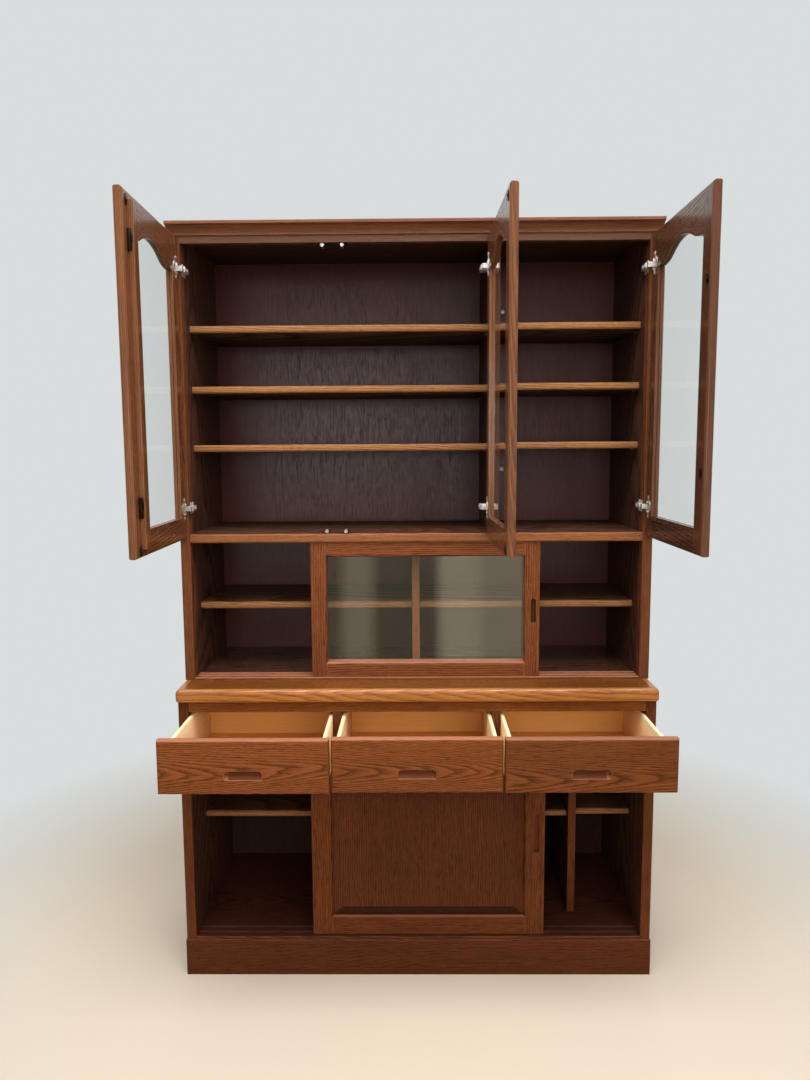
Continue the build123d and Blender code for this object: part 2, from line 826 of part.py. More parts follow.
def raised_field(size, height):
    """Raised middle of a panel, with a sloping border that runs out beside the frame."""
    sections = []
    for y, margin in ((panel_recess, field_margin), (panel_recess - size.field, field_margin + field_bevel)):
        wide = size.width - 2 * size.stile - 2 * margin
        tall = height - 2 * size.rail - 2 * margin
        sections.append(Plane.XZ.offset(-y) * Pos(0, height / 2) * Rectangle(wide, tall))
    return loft(sections)


def slider(size, height, foot, head, pull_x, pull_z):
    """Two stiles, two rails, and the pane or panel that sits in their groove."""
    edge = size.width / 2
    seat_edge = edge - size.stile + rebate_width
    seat_low = size.rail - rebate_width
    seat_end = panel_recess + size.filling
    filling = block(-seat_edge, seat_edge, panel_recess, seat_end, seat_low, height - seat_low)
    frame = slider_frame(size, height, foot, head) - filling
    if size.field:
        filling += raised_field(size, height)
    frame -= routed_groove(pull_x, pull_z, size.pull_length)
    tall = (-foot, height + head)
    sight = edge - size.stile
    stiles = [
        frame & block(-edge, -sight, 0, size.thickness, *tall),
        frame & block(sight, edge, 0, size.thickness, *tall),
    ]
    rails = [
        frame & block(-sight, sight, 0, size.thickness, -foot, height / 2),
        frame & block(-sight, sight, 0, size.thickness, height / 2, height + head),
    ]
    return {"stiles": stiles, "rails": rails, "filling": [filling]}


def slider_pair(size, case_front, floor_z, head_z, floor_groove, head_groove):
    """Front slider with its pull at the right, and rear slider with its pull at the left."""
    foot_z = floor_z + slider_clearance
    height = head_z - slider_clearance - foot_z
    foot = floor_groove - slider_clearance / 2
    head = head_groove - slider_lift
    lines = groove_lines(case_front, size.setback, size.thickness)
    pair = {}
    for name, line, sign in (("front", lines[0], 1), ("rear", lines[1], -1)):
        pull_x = sign * (size.width / 2 - size.pull_from_edge)
        pieces = slider(size, height, foot, head, pull_x, size.pull_rise - slider_clearance)
        place = Pos(size.offset, line - size.thickness / 2, foot_z)
        pair[name] = {kind: [place * item for item in items] for kind, items in pieces.items()}
    return pair


# ---------------------------------------------------------------- drawers
def drawer_spans():
    """For each drawer: the ends of its front and the ends of its box."""
    front_width = (case_width - 2 * drawer_front_gap) / 3
    clear = drawer_side_clearance
    near = divider_centre - divider_thickness / 2 - clear
    far = divider_centre + divider_thickness / 2 + clear
    return {
        "left": ((-half, -half + front_width), (-inner + clear, -far)),
        "middle": ((-front_width / 2, front_width / 2), (-near, near)),
        "right": ((half - front_width, half), (far, inner - clear)),
    }


def pull_recess(x, y, z):
    """Scooped finger recess: deepest under its straight upper edge, running out to nothing at its foot."""
    with BuildPart() as scoop:
        with BuildSketch(Plane.YZ):
            with BuildLine():
                Line((0, 0), (0, pull_height))
                Line((0, pull_height), (pull_depth, pull_height))
                RadiusArc((pull_depth, pull_height), (0, 0), 2 * pull_height)
            make_face()
        extrude(amount=pull_width / 2, both=True)
    outline = Pos(0, 0, pull_height / 2) * Box(pull_width, 2 * pull_depth, pull_height)
    outline = fillet(edges_at(outline, Axis.Y, z=pull_height), pull_corner)
    return Pos(x, y, z) * (scoop.part & outline)


def drawer(name):
    """Moulded front with a routed pull, and a box of two sides, a back and a bottom."""
    (fx0, fx1), (bx0, bx1) = drawer_spans()[name]
    pull = drawer_pulls[name]
    y_box = front - drawer_front_clearance - pull
    y_face = y_box - drawer_front_thickness
    z1 = drawer_front_bottom + drawer_front_height
    board = block(fx0, fx1, y_face, y_box, drawer_front_bottom, z1)
    outer = board.faces().sort_by(Axis.Y)[0]
    board = fillet(outer.edges(), drawer_front_round)
    board -= pull_recess((fx0 + fx1) / 2, y_face, drawer_front_bottom + pull_foot_rise)

    z_low = middle_rail_top + drawer_lift
    y_end = y_box + drawer_length
    z_top = z_low + drawer_side_height
    z_floor = z_low + drawer_bottom_lift
    z_floor_top = z_floor + drawer_bottom_thickness
    panel = block(
        bx0 + drawer_wall - drawer_groove, bx1 - drawer_wall + drawer_groove,
        y_box, y_end - drawer_wall, z_floor, z_floor_top,
    )
    sides = [
        block(bx0, bx0 + drawer_wall, y_box, y_end, z_low, z_top) - panel,
        block(bx1 - drawer_wall, bx1, y_box, y_end, z_low, z_top) - panel,
    ]
    back = block(bx0 + drawer_wall, bx1 - drawer_wall, y_end - drawer_wall, y_end, z_low, z_top)
    return {"front": board, "box": Compound(children=sides + [back, panel])}


# ---------------------------------------------------------------- build every sub-part
def main():
    os.makedirs("parts", exist_ok=True)

    save("plinth", plinth())
    save("lower_floor", lower_floor())
    save("lower_left_side", case_side(-1, front, plinth_height, counter_bottom))
    save("lower_right_side", case_side(1, front, plinth_height, counter_bottom))
    save("lower_back_panel", back_panel(plinth_height, counter_bottom))
    save("lower_rails", Compound(children=[top_rail(), middle_rail()]))
    save("drawer_dividers", drawer_dividers())
    save("drawer_runners", drawer_runners())
    save("lower_partition", lower_partition())
    save("lower_shelves", lower_shelves())
    save("countertop", countertop())

    save("upper_left_side", case_side(-1, upper_front, counter_top, top_board_bottom))
    save("upper_right_side", case_side(1, upper_front, counter_top, top_board_bottom))
    save("upper_back_panel", back_panel(counter_top, top_board_bottom))
    save("top_board", top_board())
    save("cornice", cornice())
    save("upper_top_rail", upper_rail(-inner, inner))
    save("upper_partition", upper_partition())
    save("upper_shelves", upper_shelves())
    save("middle_board", middle_board())
    save("niche_threshold", niche_threshold())
    save("niche_partition", niche_partition())
    save("niche_shelves", niche_shelves())
    save("shelf_pins", shelf_pins())
    save("hinge_arms", hinge_arms())
    save("door_catches", door_catches())

    openings = {"left": left_door_open, "middle": middle_door_open, "right": right_door_open}
    strikes = {
        "left": [strike(pair_strike_reach, z) for z in pair_strike_heights] + latch_bodies(),
        "middle": [strike(pair_strike_reach, z) for z in pair_strike_heights],
        "right": [strike(single_strike_reach, z) for z in single_catch_heights],
    }
    members = door_members()
    for name, opening in openings.items():
        for kind, items in members.items():
            extra = strikes[name] if kind == "hardware" else []
            hung = [hang_door(item, name, opening) for item in items + extra]
            save(f"{name}_door_{kind}", Compound(children=hung))
    save("left_door_meeting_strip", hang_door(meeting_strip(), "left", left_door_open))

    niche_run = (upper_front, threshold_top, middle_board_bottom, threshold_groove_depth, niche_groove_depth)
    lower_run = (front, floor_top, middle_rail_bottom, floor_groove_depth, head_groove_depth)
    for kind, filling, pair in (
        ("glass", "pane", slider_pair(glass_slider, *niche_run)),
        ("wood", "panel", slider_pair(wood_slider, *lower_run)),
    ):
        for name, pieces in pair.items():
            save(f"{name}_{kind}_slider_stiles", Compound(children=pieces["stiles"]))
            save(f"{name}_{kind}_slider_rails", Compound(children=pieces["rails"]))
            save(f"{name}_{kind}_slider_{filling}", Compound(children=pieces["filling"]))

    for name in drawer_pulls:
        pieces = drawer(name)
        save(f"{name}_drawer_front", pieces["front"])
        save(f"{name}_drawer_box", pieces["box"])


main()
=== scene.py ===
"""Dresses the two-part oak kitchen cabinet: its stained oak, lacquer, glass, hinges, catches and light."""

import math

import bmesh
import bpy
from mathutils import Matrix, Vector


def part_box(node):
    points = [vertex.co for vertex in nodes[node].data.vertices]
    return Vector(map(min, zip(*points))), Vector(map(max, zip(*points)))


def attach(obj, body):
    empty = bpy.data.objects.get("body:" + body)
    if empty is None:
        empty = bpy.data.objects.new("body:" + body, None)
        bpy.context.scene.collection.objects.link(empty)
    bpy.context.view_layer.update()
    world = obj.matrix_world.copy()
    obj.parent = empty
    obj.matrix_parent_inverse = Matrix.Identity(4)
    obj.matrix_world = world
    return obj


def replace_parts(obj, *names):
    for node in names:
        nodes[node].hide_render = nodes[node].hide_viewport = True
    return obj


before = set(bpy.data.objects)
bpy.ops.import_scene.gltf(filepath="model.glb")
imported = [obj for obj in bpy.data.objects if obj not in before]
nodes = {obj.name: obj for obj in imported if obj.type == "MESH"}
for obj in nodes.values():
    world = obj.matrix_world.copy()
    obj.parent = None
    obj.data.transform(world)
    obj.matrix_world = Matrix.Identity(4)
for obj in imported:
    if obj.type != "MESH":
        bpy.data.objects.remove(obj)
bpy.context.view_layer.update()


# The viewer's camera: a phone held at chest height a little over two metres in front of the doors,
# turned slightly down, with a wide lens. The sensor's long side is the picture's height.
VIEWER_PLACE = (-0.0059, -2.2077, 1.3736)
VIEWER_YAW = math.radians(0.60)
VIEWER_PITCH = math.radians(-6.53)
VIEWER_ROLL = math.radians(0.36)
LENS_MM = 26.93
SENSOR_MM = 36.0

viewer_camera = bpy.data.cameras.new("viewer")
viewer_camera.sensor_fit = "VERTICAL"
viewer_camera.sensor_height = SENSOR_MM
viewer_camera.sensor_width = SENSOR_MM
viewer_camera.lens = LENS_MM
viewer = bpy.data.objects.new("viewer", viewer_camera)
bpy.context.scene.collection.objects.link(viewer)
turned = Matrix.Rotation(VIEWER_YAW, 4, "Z") @ Matrix.Rotation(VIEWER_PITCH, 4, "X")
turned = turned @ Matrix.Rotation(VIEWER_ROLL, 4, "Y")
level = Matrix.Rotation(math.radians(90), 4, "X")
viewer.matrix_world = Matrix.Translation(VIEWER_PLACE) @ turned @ level
bpy.context.scene.camera = viewer


# The case boards: sides, top, cornice, rails, partitions, dividers and plinth. Solid and veneered oak,
# stained dark brown and lacquered satin, glued and dowelled. The grain follows each board's length.
# A stain is two colours: on the dense late wood and in the open early wood.
CASE_STAIN = ((0.170, 0.055, 0.020, 1), (0.065, 0.019, 0.007, 1))
INSIDE_STAIN = ((0.085, 0.034, 0.020, 1), (0.034, 0.013, 0.008, 1))
# the lower case: the case stain made darker and warmer, painted shade and a painted warm cast of light off
# the floor
LOWER_STAIN = ((0.140, 0.037, 0.0085, 1), (0.052, 0.0125, 0.0028, 1))
LIP_STAIN = ((0.270, 0.098, 0.038, 1), (0.155, 0.052, 0.019, 1))
# the top rail: the case stain darkened as painted shade
TOP_RAIL_STAIN = ((0.122, 0.045, 0.021, 1), (0.048, 0.016, 0.0078, 1))
# the rails under the countertop: paler than the case, painted light where the countertop shades them
DRAWER_RAIL_STAIN = ((0.250, 0.076, 0.016, 1), (0.100, 0.026, 0.005, 1))
# the plinth: the lower stain darkened further, painted shade low down
PLINTH_STAIN = ((0.122, 0.030, 0.0076, 1), (0.040, 0.0090, 0.0022, 1))
PORE_TINT = (0.30, 0.26, 0.24, 1)

GRAIN_TURN = {
    "X": (0, 0, 0),
    "Y": (0, 0, math.radians(-90)),
    "Z": (0, math.radians(90), 0),
}
# how far a tree's middle strays, how uneven its rings are, how much its pores keep to the early wood,
# how deep pores and early wood lie and how much rougher the pores are
WANDER = 0.06
RIPPLE = 0.004
PORE_CROWD = 0.17
PORE_DEPTH = 0.8
EARLY_WOOD_DEPTH = 0.2
PORE_ROUGHNESS = 0.25
# by how much an edge turns before it is paled, partly as wear and partly as painted highlight, and the
# patches in that paling
WORN_TURN = (0.99, 0.80)
WORN_PATCHES = (0.35, 0.65, 0.35, 1.0)
# how sharp the edges of two colours are: on a lipping, below a board's under height and round the painted
# shade in a finger pull
LIP_EDGE = 0.0004
UNDER_EDGE = 0.0002
PULL_EDGE = 0.0005
# the depth in a side board where its outer veneer's stain begins, as a span across the cabinet
OUTER_VENEER = (0.5895, 0.5900)
# how much paler a pale edge is, partly wear and partly painted highlight; how far a slope faces up where it
# gets a painted highlight; and how far down where it gets painted shade, with the share of the deep stain
# that the painted shade has there
RUBBED_GAIN = 1.5
RUBBED_LIFT = 0.06
CREST_SLOPE = (0.45, 0.90)
LEE_SLOPE = (-0.05, -0.18)
LEE_TONE = 0.5
GRAIN_DEPTH = 0.0004
COAT_ROUGHNESS = 0.12
# a plain board's year, taper, strength of figure and of pores, width of its edges and how much they are
# paled as wear and painted highlight, the painted highlight on its upward faces, tone of the painted shade
# in its pull, roughness, depth of grain, shine and weight of lacquer
PLAIN_FINISH = {
    "ring": 0.004,
    "taper": 0.03,
    "figure": 0.34,
    "pores": 0.55,
    "soft": 0.0025,
    "wear": 0.45,
    "crest": 0.0,
    "pull": 0.65,
    "rough": 0.42,
    "relief": 0.5,
    "shine": 0.12,
    "coat": 0.0,
}


def put(tree, kind, inputs=None, **options):
    """Adds a node. An input is given by its name or number, as a value or as the socket that feeds it."""
    made = tree.nodes.new(kind)
    for name, value in options.items():
        setattr(made, name, value)
    for name, value in (inputs or {}).items():
        if isinstance(value, bpy.types.NodeSocket):
            tree.links.new(value, made.inputs[name])
        else:
            made.inputs[name].default_value = value
    return made


def sums(tree, operation, first, second=0.0, third=0.0):
    """The output of a Math node."""
    return put(tree, "ShaderNodeMath", {0: first, 1: second, 2: third}, operation=operation).outputs[0]


def vector_sums(tree, operation, first, second=(0.0, 0.0, 0.0)):
    """The outputs of a Vector Math node."""
    return put(tree, "ShaderNodeVectorMath", {0: first, 1: second}, operation=operation).outputs


def stretched_noise(tree, vector, along, across, detail=2.0):
    """Noise with so many waves a metre along and across the grain."""
    drawn = vector_sums(tree, "MULTIPLY", vector, (along, across, across))[0]
    return put(tree, "ShaderNodeTexNoise", {"Vector": drawn, "Scale": 1.0, "Detail": detail}).outputs


def ramp(tree, value, low, high, start=0.0, end=1.0):
    """Maps a value between low and high to start and end, clamped."""
    ends = {"Value": value, "From Min": low, "From Max": high, "To Min": start, "To Max": end}
    return put(tree, "ShaderNodeMapRange", ends).outputs[0]


def between(tree, value, rise, fall):
    """A mask that grows to 1 over the span of its rise and goes back to 0 over that of its fall."""
    return sums(tree, "MULTIPLY", ramp(tree, value, *rise), ramp(tree, value, *fall, 1.0, 0.0))


def outside_of(tree, mask):
    """The rest of a mask."""
    return sums(tree, "SUBTRACT", 1.0, mask)


def blend_colours(tree, factor, first, second, kind="MIX"):
    """The colour output of a Mix node."""
    found = put(tree, "ShaderNodeMix", {0: factor, 6: first, 7: second}, data_type="RGBA", blend_type=kind)
    return found.outputs[2]


def toned(colour, share):
    """A colour made lighter or darker."""
    return tuple(part * share for part in colour[:3]) + (1,)


def new_group(name, given, made):
    """An empty shader node group with its named inputs and outputs."""
    group = bpy.data.node_groups.new(name, "ShaderNodeTree")
    for label, (kind, value) in given.items():
        socket = group.interface.new_socket(label, in_out="INPUT", socket_type="NodeSocket" + kind)
        if value is not None:
            socket.default_value = value
    for label, kind in made.items():
        group.interface.new_socket(label, in_out="OUTPUT", socket_type="NodeSocket" + kind)
    return group, put(group, "NodeGroupInput").outputs, put(group, "NodeGroupOutput").inputs


def new_material(name):
    """A material with its nodes, and its Principled shader."""
    material = bpy.data.materials.new(name)
    material.use_nodes = True
    return material, material.node_tree, material.node_tree.nodes["Principled BSDF"]


def make_oak_grain():
    """Sawn oak whose tree stood along X: yearly rings with their pores, fibres and slow changes of tone."""
    group, given, made = new_group(
        "oak_grain",
        {
            "Vector": ("Vector", None),
            "Pale": ("Color", CASE_STAIN[0]),
            "Deep": ("Color", CASE_STAIN[1]),
            "Ring Width": ("Float", 0.004),
            "Taper": ("Float", 0.03),
            "Figure": ("Float", 0.45),
            "Pores": ("Float", 0.7),
        },
        {"Color": "Color", "Height": "Float", "Roughness": "Float"},
    )
    vector = given["Vector"]
    # the distance from the tree's middle, which strays, plus its growth along the trunk
    wander = stretched_noise(group, vector, 1.1, 3.0, 1.0)["Color"]
    wander = vector_sums(group, "SUBTRACT", wander, (0.5, 0.5, 0.5))[0]
    wander = vector_sums(group, "MULTIPLY", wander, (0.0, WANDER, WANDER))[0]
    moved = vector_sums(group, "ADD", vector, wander)[0]
    flat = vector_sums(group, "MULTIPLY", moved, (0.0, 1.0, 1.0))[0]
    radius = vector_sums(group, "LENGTH", flat)["Value"]
    length = put(group, "ShaderNodeSeparateXYZ", {0: vector}).outputs["X"]
    grown = sums(group, "MULTIPLY_ADD", length, given["Taper"], radius)
    grown = sums(group, "MULTIPLY_ADD", stretched_noise(group, vector, 5.0, 45.0)[0], RIPPLE, grown)
    season = sums(group, "FRACT", sums(group, "DIVIDE", grown, given["Ring Width"]))
    early_wood = between(group, season, (0.0, 0.10), (0.12, 0.75))
    # wide and fine pores, most of them in the early wood
    crowd = sums(group, "MULTIPLY", early_wood, PORE_CROWD)
    wide_pores = sums(group, "ADD", stretched_noise(group, vector, 24.0, 430.0)[0], crowd)
    fine_pores = sums(group, "ADD", stretched_noise(group, vector, 60.0, 1200.0)[0], crowd)
    pores = sums(group, "MAXIMUM", ramp(group, wide_pores, 0.60, 0.72), ramp(group, fine_pores, 0.62, 0.70))
    # the colour: rings, fibres and slow changes of tone, then the pores
    fibres = stretched_noise(group, vector, 7.0, 210.0, 3.0)[0]
    tone = stretched_noise(group, vector, 0.9, 6.0)[0]
    shade = sums(group, "MULTIPLY", early_wood, given["Figure"])
    shade = sums(group, "MULTIPLY_ADD", ramp(group, fibres, 0.3, 0.7), 0.35, shade)
    shade = sums(group, "MULTIPLY_ADD", ramp(group, tone, 0.3, 0.7, -0.5, 0.5), 0.35, shade)
    colour = blend_colours(group, ramp(group, shade, -0.05, 0.95), given["Pale"], given["Deep"])
    sunk = blend_colours(group, 1.0, given["Deep"], PORE_TINT, "MULTIPLY")
    colour = blend_colours(group, sums(group, "MULTIPLY", pores, given["Pores"]), colour, sunk)
    height = sums(group, "MULTIPLY_ADD", pores, -PORE_DEPTH, 1.0)
    height = sums(group, "MULTIPLY_ADD", early_wood, -EARLY_WOOD_DEPTH, height)
    group.links.new(colour, made["Color"])
    group.links.new(height, made["Height"])
    group.links.new(sums(group, "MULTIPLY", pores, PORE_ROUGHNESS), made["Roughness"])
    return group


def make_worn_edge():
    """Where an edge is paled, partly as wear and partly as painted highlight: how far the softened surface
    turns from the flat one, broken up by noise.
    """
    group, given, made = new_group(
        "worn_edge",
        {"Vector": ("Vector", None), "Width": ("Float", 0.003)},
        {"Mask": "Float", "Normal": "Vector"},
    )
    soft = put(group, "ShaderNodeBevel", {"Radius": given["Width"]}, samples=4).outputs[0]
    face = put(group, "ShaderNodeNewGeometry").outputs["Normal"]
    edge = ramp(group, vector_sums(group, "DOT_PRODUCT", soft, face)["Value"], *WORN_TURN)
    patches = {"Vector": given["Vector"], "Scale": 24.0, "Detail": 4.0}
    patches = put(group, "ShaderNodeTexNoise", patches).outputs[0]
    group.links.new(sums(group, "MULTIPLY", edge, ramp(group, patches, *WORN_PATCHES)), made["Mask"])
    group.links.new(soft, made["Normal"])
    return group


OAK_GRAIN = make_oak_grain()
WORN_EDGE = make_worn_edge()


def restain(tree, where, stain, other):
    """A stain that gives way to another one where the mask is 1."""
    return [blend_colours(tree, where, own, new) for own, new in zip(stain, other)]


def lipped_stain(tree, axes, stain, finish):
    """The stain of a board with a lipping, and the mask of its lipping and outer face."""
    lip_end, lip_stain = finish["lipping"]
    outside = ramp(tree, sums(tree, "ABSOLUTE", axes["X"]), *OUTER_VENEER)
    lip = ramp(tree, axes["Y"], lip_end, lip_end + LIP_EDGE, 1.0, 0.0)
    lip = sums(tree, "MAXIMUM", lip, outside)
    stain = restain(tree, lip, stain, lip_stain)
    if "inside" in finish:
        covered = ramp(tree, axes["Y"], finish["inside"], finish["inside"] + LIP_EDGE)
        covered = sums(tree, "MULTIPLY", covered, outside_of(tree, outside))
        stain = restain(tree, covered, stain, INSIDE_STAIN)
    return stain, lip


def in_spans(tree, axes, spans):
    """The mask of what lies between the ends of a span on each axis."""
    within = 1.0
    for axis, (low, high) in zip("XYZ", spans):
        span = between(tree, axes[axis], (low, low + PULL_EDGE), (high - PULL_EDGE, high))
        within = sums(tree, "MULTIPLY", within, span)
    return within


def oak(name, stain, along, heart, **finish):
    """Stained and lacquered oak. heart is where the tree's middle ran, across the grain from the origin.
    The finish may differ from the plain one and may have more. A lipping is another stain on the board's
    front edge and outer face, given after the depth where it ends, and raw is how much rougher the rest of
    that board is. The board takes the inside stain behind its inside depth and below its under height; on
    the right door's bottom rail that is painted shade. A finger pull's three spans are painted with shade,
    and shaded is how much painted shade the lower slopes get. Edges are paled partly as wear and partly as
    painted highlight, and faces that look up get a painted highlight."""
    finish = PLAIN_FINISH | finish
    material, tree, shader = new_material(name)
    place = put(tree, "ShaderNodeTexCoord").outputs["Object"]
    axes = put(tree, "ShaderNodeSeparateXYZ", {0: place}).outputs
    board_stain = stain
    if "lipping" in finish:
        board_stain, lip = lipped_stain(tree, axes, stain, finish)
    if "under" in finish:
        below = ramp(tree, axes["Z"], finish["under"], finish["under"] + UNDER_EDGE, 1.0, 0.0)
        board_stain = restain(tree, below, board_stain, INSIDE_STAIN)
    mapped = {"Vector": place, "Rotation": GRAIN_TURN[along], "Location": heart}
    grown = {
        "Vector": put(tree, "ShaderNodeMapping", mapped).outputs[0],
        "Pale": board_stain[0],
        "Deep": board_stain[1],
        "Ring Width": finish["ring"],
        "Taper": finish["taper"],
        "Figure": finish["figure"],
        "Pores": finish["pores"],
    }
    grain = put(tree, "ShaderNodeGroup", grown, node_tree=OAK_GRAIN).outputs
    softened = {"Vector": place, "Width": finish["soft"]}
    worn = put(tree, "ShaderNodeGroup", softened, node_tree=WORN_EDGE).outputs
    # pale edges, partly wear and partly painted highlight, and a painted highlight on faces that look up,
    # over the grain; then painted shade on the lower slopes and in the finger pull
    pale, deep = stain
    rubbed = tuple(min(1.0, part * RUBBED_GAIN + RUBBED_LIFT) for part in pale[:3]) + (1,)
    slope = put(tree, "ShaderNodeNewGeometry").outputs["Normal"]
    slope = put(tree, "ShaderNodeSeparateXYZ", {0: slope}).outputs["Z"]
    rub = sums(tree, "MULTIPLY", worn["Mask"], finish["wear"])
    # painted highlight: faces that look up are paled, as if lit from above
    rub = sums(tree, "MAXIMUM", rub, ramp(tree, slope, *CREST_SLOPE, 0.0, finish["crest"]))
    colour = blend_colours(tree, rub, grain["Color"], rubbed)
    if "shaded" in finish:
        # painted shade: slopes that face down take the deep stain, darkened
        lee = ramp(tree, slope, *LEE_SLOPE, 0.0, finish["shaded"])
        colour = blend_colours(tree, lee, colour, toned(deep, LEE_TONE))
    if "hollow" in finish:
        # painted shade: a finger pull's recess takes the deep stain, toned by pull
        hollow = in_spans(tree, axes, finish["hollow"])
        colour = blend_colours(tree, hollow, colour, toned(deep, finish["pull"]))
    tree.links.new(colour, shader.inputs["Base Color"])
    rough = sums(tree, "ADD", grain["Roughness"], finish["rough"])
    if "raw" in finish:
        bare = sums(tree, "MULTIPLY", outside_of(tree, lip), finish["raw"])
        rough = sums(tree, "ADD", rough, bare)
    tree.links.new(rough, shader.inputs["Roughness"])
    relief = {"Height": grain["Height"], "Normal": worn["Normal"], "Distance": GRAIN_DEPTH}
    relief["Strength"] = finish["relief"]
    tree.links.new(put(tree, "ShaderNodeBump", relief).outputs[0], shader.inputs["Normal"])
    shader.inputs["Specular IOR Level"].default_value = finish["shine"]
    shader.inputs["Coat Weight"].default_value = finish["coat"]
    shader.inputs["Coat Roughness"].default_value = COAT_ROUGHNESS
    return material


def dress(material, *names):
    """Gives these CAD nodes a material in their own slots."""
    for name in names:
        nodes[name].data.materials[0] = material


UPRIGHT_HEART = (0.3, 0.05, 0.11)
MOULDING_HEART = (0.1, 0.15, 1.2)
LOW_BOARD_HEART = (0.1, 0.15, 0.8)
MOULDING = {"figure": 0.25, "pores": 0.4, "wear": 0.8, "shine": 0.3}
MIDDLE_BOARD_LIP_END = -0.142
TOP_BOARD_UNDER = 1.9042
# each kind of upright's lipping, as the depth where it ends and its stain, and the boards that have it
UPRIGHTS = {
    "upper_oak_upright": (-0.118, CASE_STAIN, ("upper_left_side", "upper_right_side", "upper_partition")),
    "niche_oak_upright": (-0.086, LIP_STAIN, ("niche_partition",)),
    "lower_oak_upright": (-0.220, LOWER_STAIN, ("lower_left_side", "lower_right_side", "drawer_dividers")),
    "lower_oak_wall": (-0.108, LOWER_STAIN, ("lower_partition",)),
}

for kind, (lip_end, lip_stain, boards) in UPRIGHTS.items():
    dress(oak(kind, INSIDE_STAIN, "Z", UPRIGHT_HEART, lipping=(lip_end, lip_stain)), *boards)
middle_lipping = (MIDDLE_BOARD_LIP_END, LIP_STAIN)
middle_board_oak = oak("upper_oak_board", INSIDE_STAIN, "X", (0.1, 0.09, -0.05), lipping=middle_lipping)
dress(middle_board_oak, "middle_board")
top_oak = oak("top_oak", CASE_STAIN, "X", (0.1, 0.09, -1.8), figure=0.35, wear=0.8, under=TOP_BOARD_UNDER)
dress(top_oak, "top_board")
dress(oak("upper_oak_cross", CASE_STAIN, "X", MOULDING_HEART, **MOULDING), "cornice")
dress(oak("shaded_oak_cross", TOP_RAIL_STAIN, "X", MOULDING_HEART, **MOULDING), "upper_top_rail")
dress(oak("rail_oak", DRAWER_RAIL_STAIN, "X", LOW_BOARD_HEART, figure=0.35), "lower_rails")
# the plinth: painted shade in its stain and a faint painted highlight on its rounded top
dress(oak("lower_oak_cross", PLINTH_STAIN, "X", LOW_BOARD_HEART, figure=0.45, crest=0.10), "plinth")


# The back panels: thin plywood faced with oak veneer, its grain upright, stained nearly black brown
# inside and left raw outside. Each slides into a groove round its half of the case.
BACK_STAIN = ((0.078, 0.022, 0.016, 1), (0.046, 0.0125, 0.0095, 1))
LOW_BACK_STAIN = ((0.055, 0.026, 0.018, 1), (0.024, 0.010, 0.008, 1))
RAW_VENEER = ((0.400, 0.230, 0.120, 1), (0.290, 0.150, 0.075, 1))
BACK_HEART = (0.2, 0.02, 0.8)


def middle_depth(box):
    """The depth half way through a box."""
    near, far = box
    return (near[1] + far[1]) / 2


back_veneer = oak(
    "back_veneer",
    RAW_VENEER,
    "Z",
    BACK_HEART,
    pores=0.35,
    relief=0.08,
    rough=0.28,
    raw=0.35,
    shine=0.5,
    lipping=(middle_depth(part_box("upper_back_panel")), BACK_STAIN),
)
low_back_veneer = oak(
    "low_back_veneer",
    RAW_VENEER,
    "Z",
    BACK_HEART,
    figure=0.25,
    pores=0.3,
    lipping=(middle_depth(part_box("lower_back_panel")), LOW_BACK_STAIN),
)
dress(back_veneer, "upper_back_panel")
dress(low_back_veneer, "lower_back_panel")


# The shelves and the floor board: dark stained board with a rounded lipping of paler solid oak on the
# front edge. The shelves rest on pins in the sides and partitions, the floor is glued between the sides.
SHELF_STAIN = ((0.105, 0.045, 0.024, 1), (0.042, 0.017, 0.010, 1))
SHELF_LIP_STAIN = ((0.300, 0.135, 0.052, 1), (0.190, 0.076, 0.026, 1))
FLOOR_BOARD_STAIN = ((0.070, 0.020, 0.011, 1), (0.030, 0.008, 0.004, 1))
SHELF_HEART = (0.5, 0.05, -0.02)
SHELF_LIP_WIDTH = 0.008
FLOOR_LIP_END = -0.2245
SHELF_FRONTS = {"upper_shelves": -0.085, "niche_shelves": -0.070, "lower_shelves": -0.092}

for shelf, front in SHELF_FRONTS.items():
    lipping = (front + SHELF_LIP_WIDTH, SHELF_LIP_STAIN)
    dress(oak(shelf, SHELF_STAIN, "X", SHELF_HEART, ring=0.006, lipping=lipping), shelf)
floor_oak = oak("floor_oak", FLOOR_BOARD_STAIN, "X", SHELF_HEART, lipping=(FLOOR_LIP_END, LOWER_STAIN))
dress(floor_oak, "lower_floor")


# The countertop of the lower cabinet: a thick oak board with a rounded front edge, stained a warmer
# brown than the case and lacquered glossy. The upper cabinet stands on it.
COUNTER_STAIN = ((0.225, 0.070, 0.012, 1), (0.105, 0.028, 0.004, 1))
# the rounded front edge: a paler lipping, its paleness partly real and partly a painted highlight
NOSE_STAIN = ((0.430, 0.155, 0.030, 1), (0.290, 0.095, 0.017, 1))
NOSE_END = -0.228
UPPER_CASE_FRONT = -0.147

counter_oak = oak(
    "counter_oak",
    COUNTER_STAIN,
    "X",
    (0.0, 0.03, -0.7),
    rough=0.25,
    coat=0.3,
    shine=0.4,
    figure=0.45,
    pores=0.6,
    lipping=(NOSE_END, NOSE_STAIN),
    inside=UPPER_CASE_FRONT,
)
dress(counter_oak, "countertop")


# The hinged doors: oak frames of two stiles and two rails, arched at the top, stained a warm brown.
# The joints are glued, the outer edges are rounded, and beads hold the glass from inside. The right door
# has a darker copy of the stain as painted shade, and its bottom rail, darker still, takes the inside stain
# as deeper painted shade.
DOORS = ("left_door", "middle_door", "right_door")
DOOR_STAIN = ((0.190, 0.066, 0.022, 1), (0.070, 0.021, 0.0065, 1))
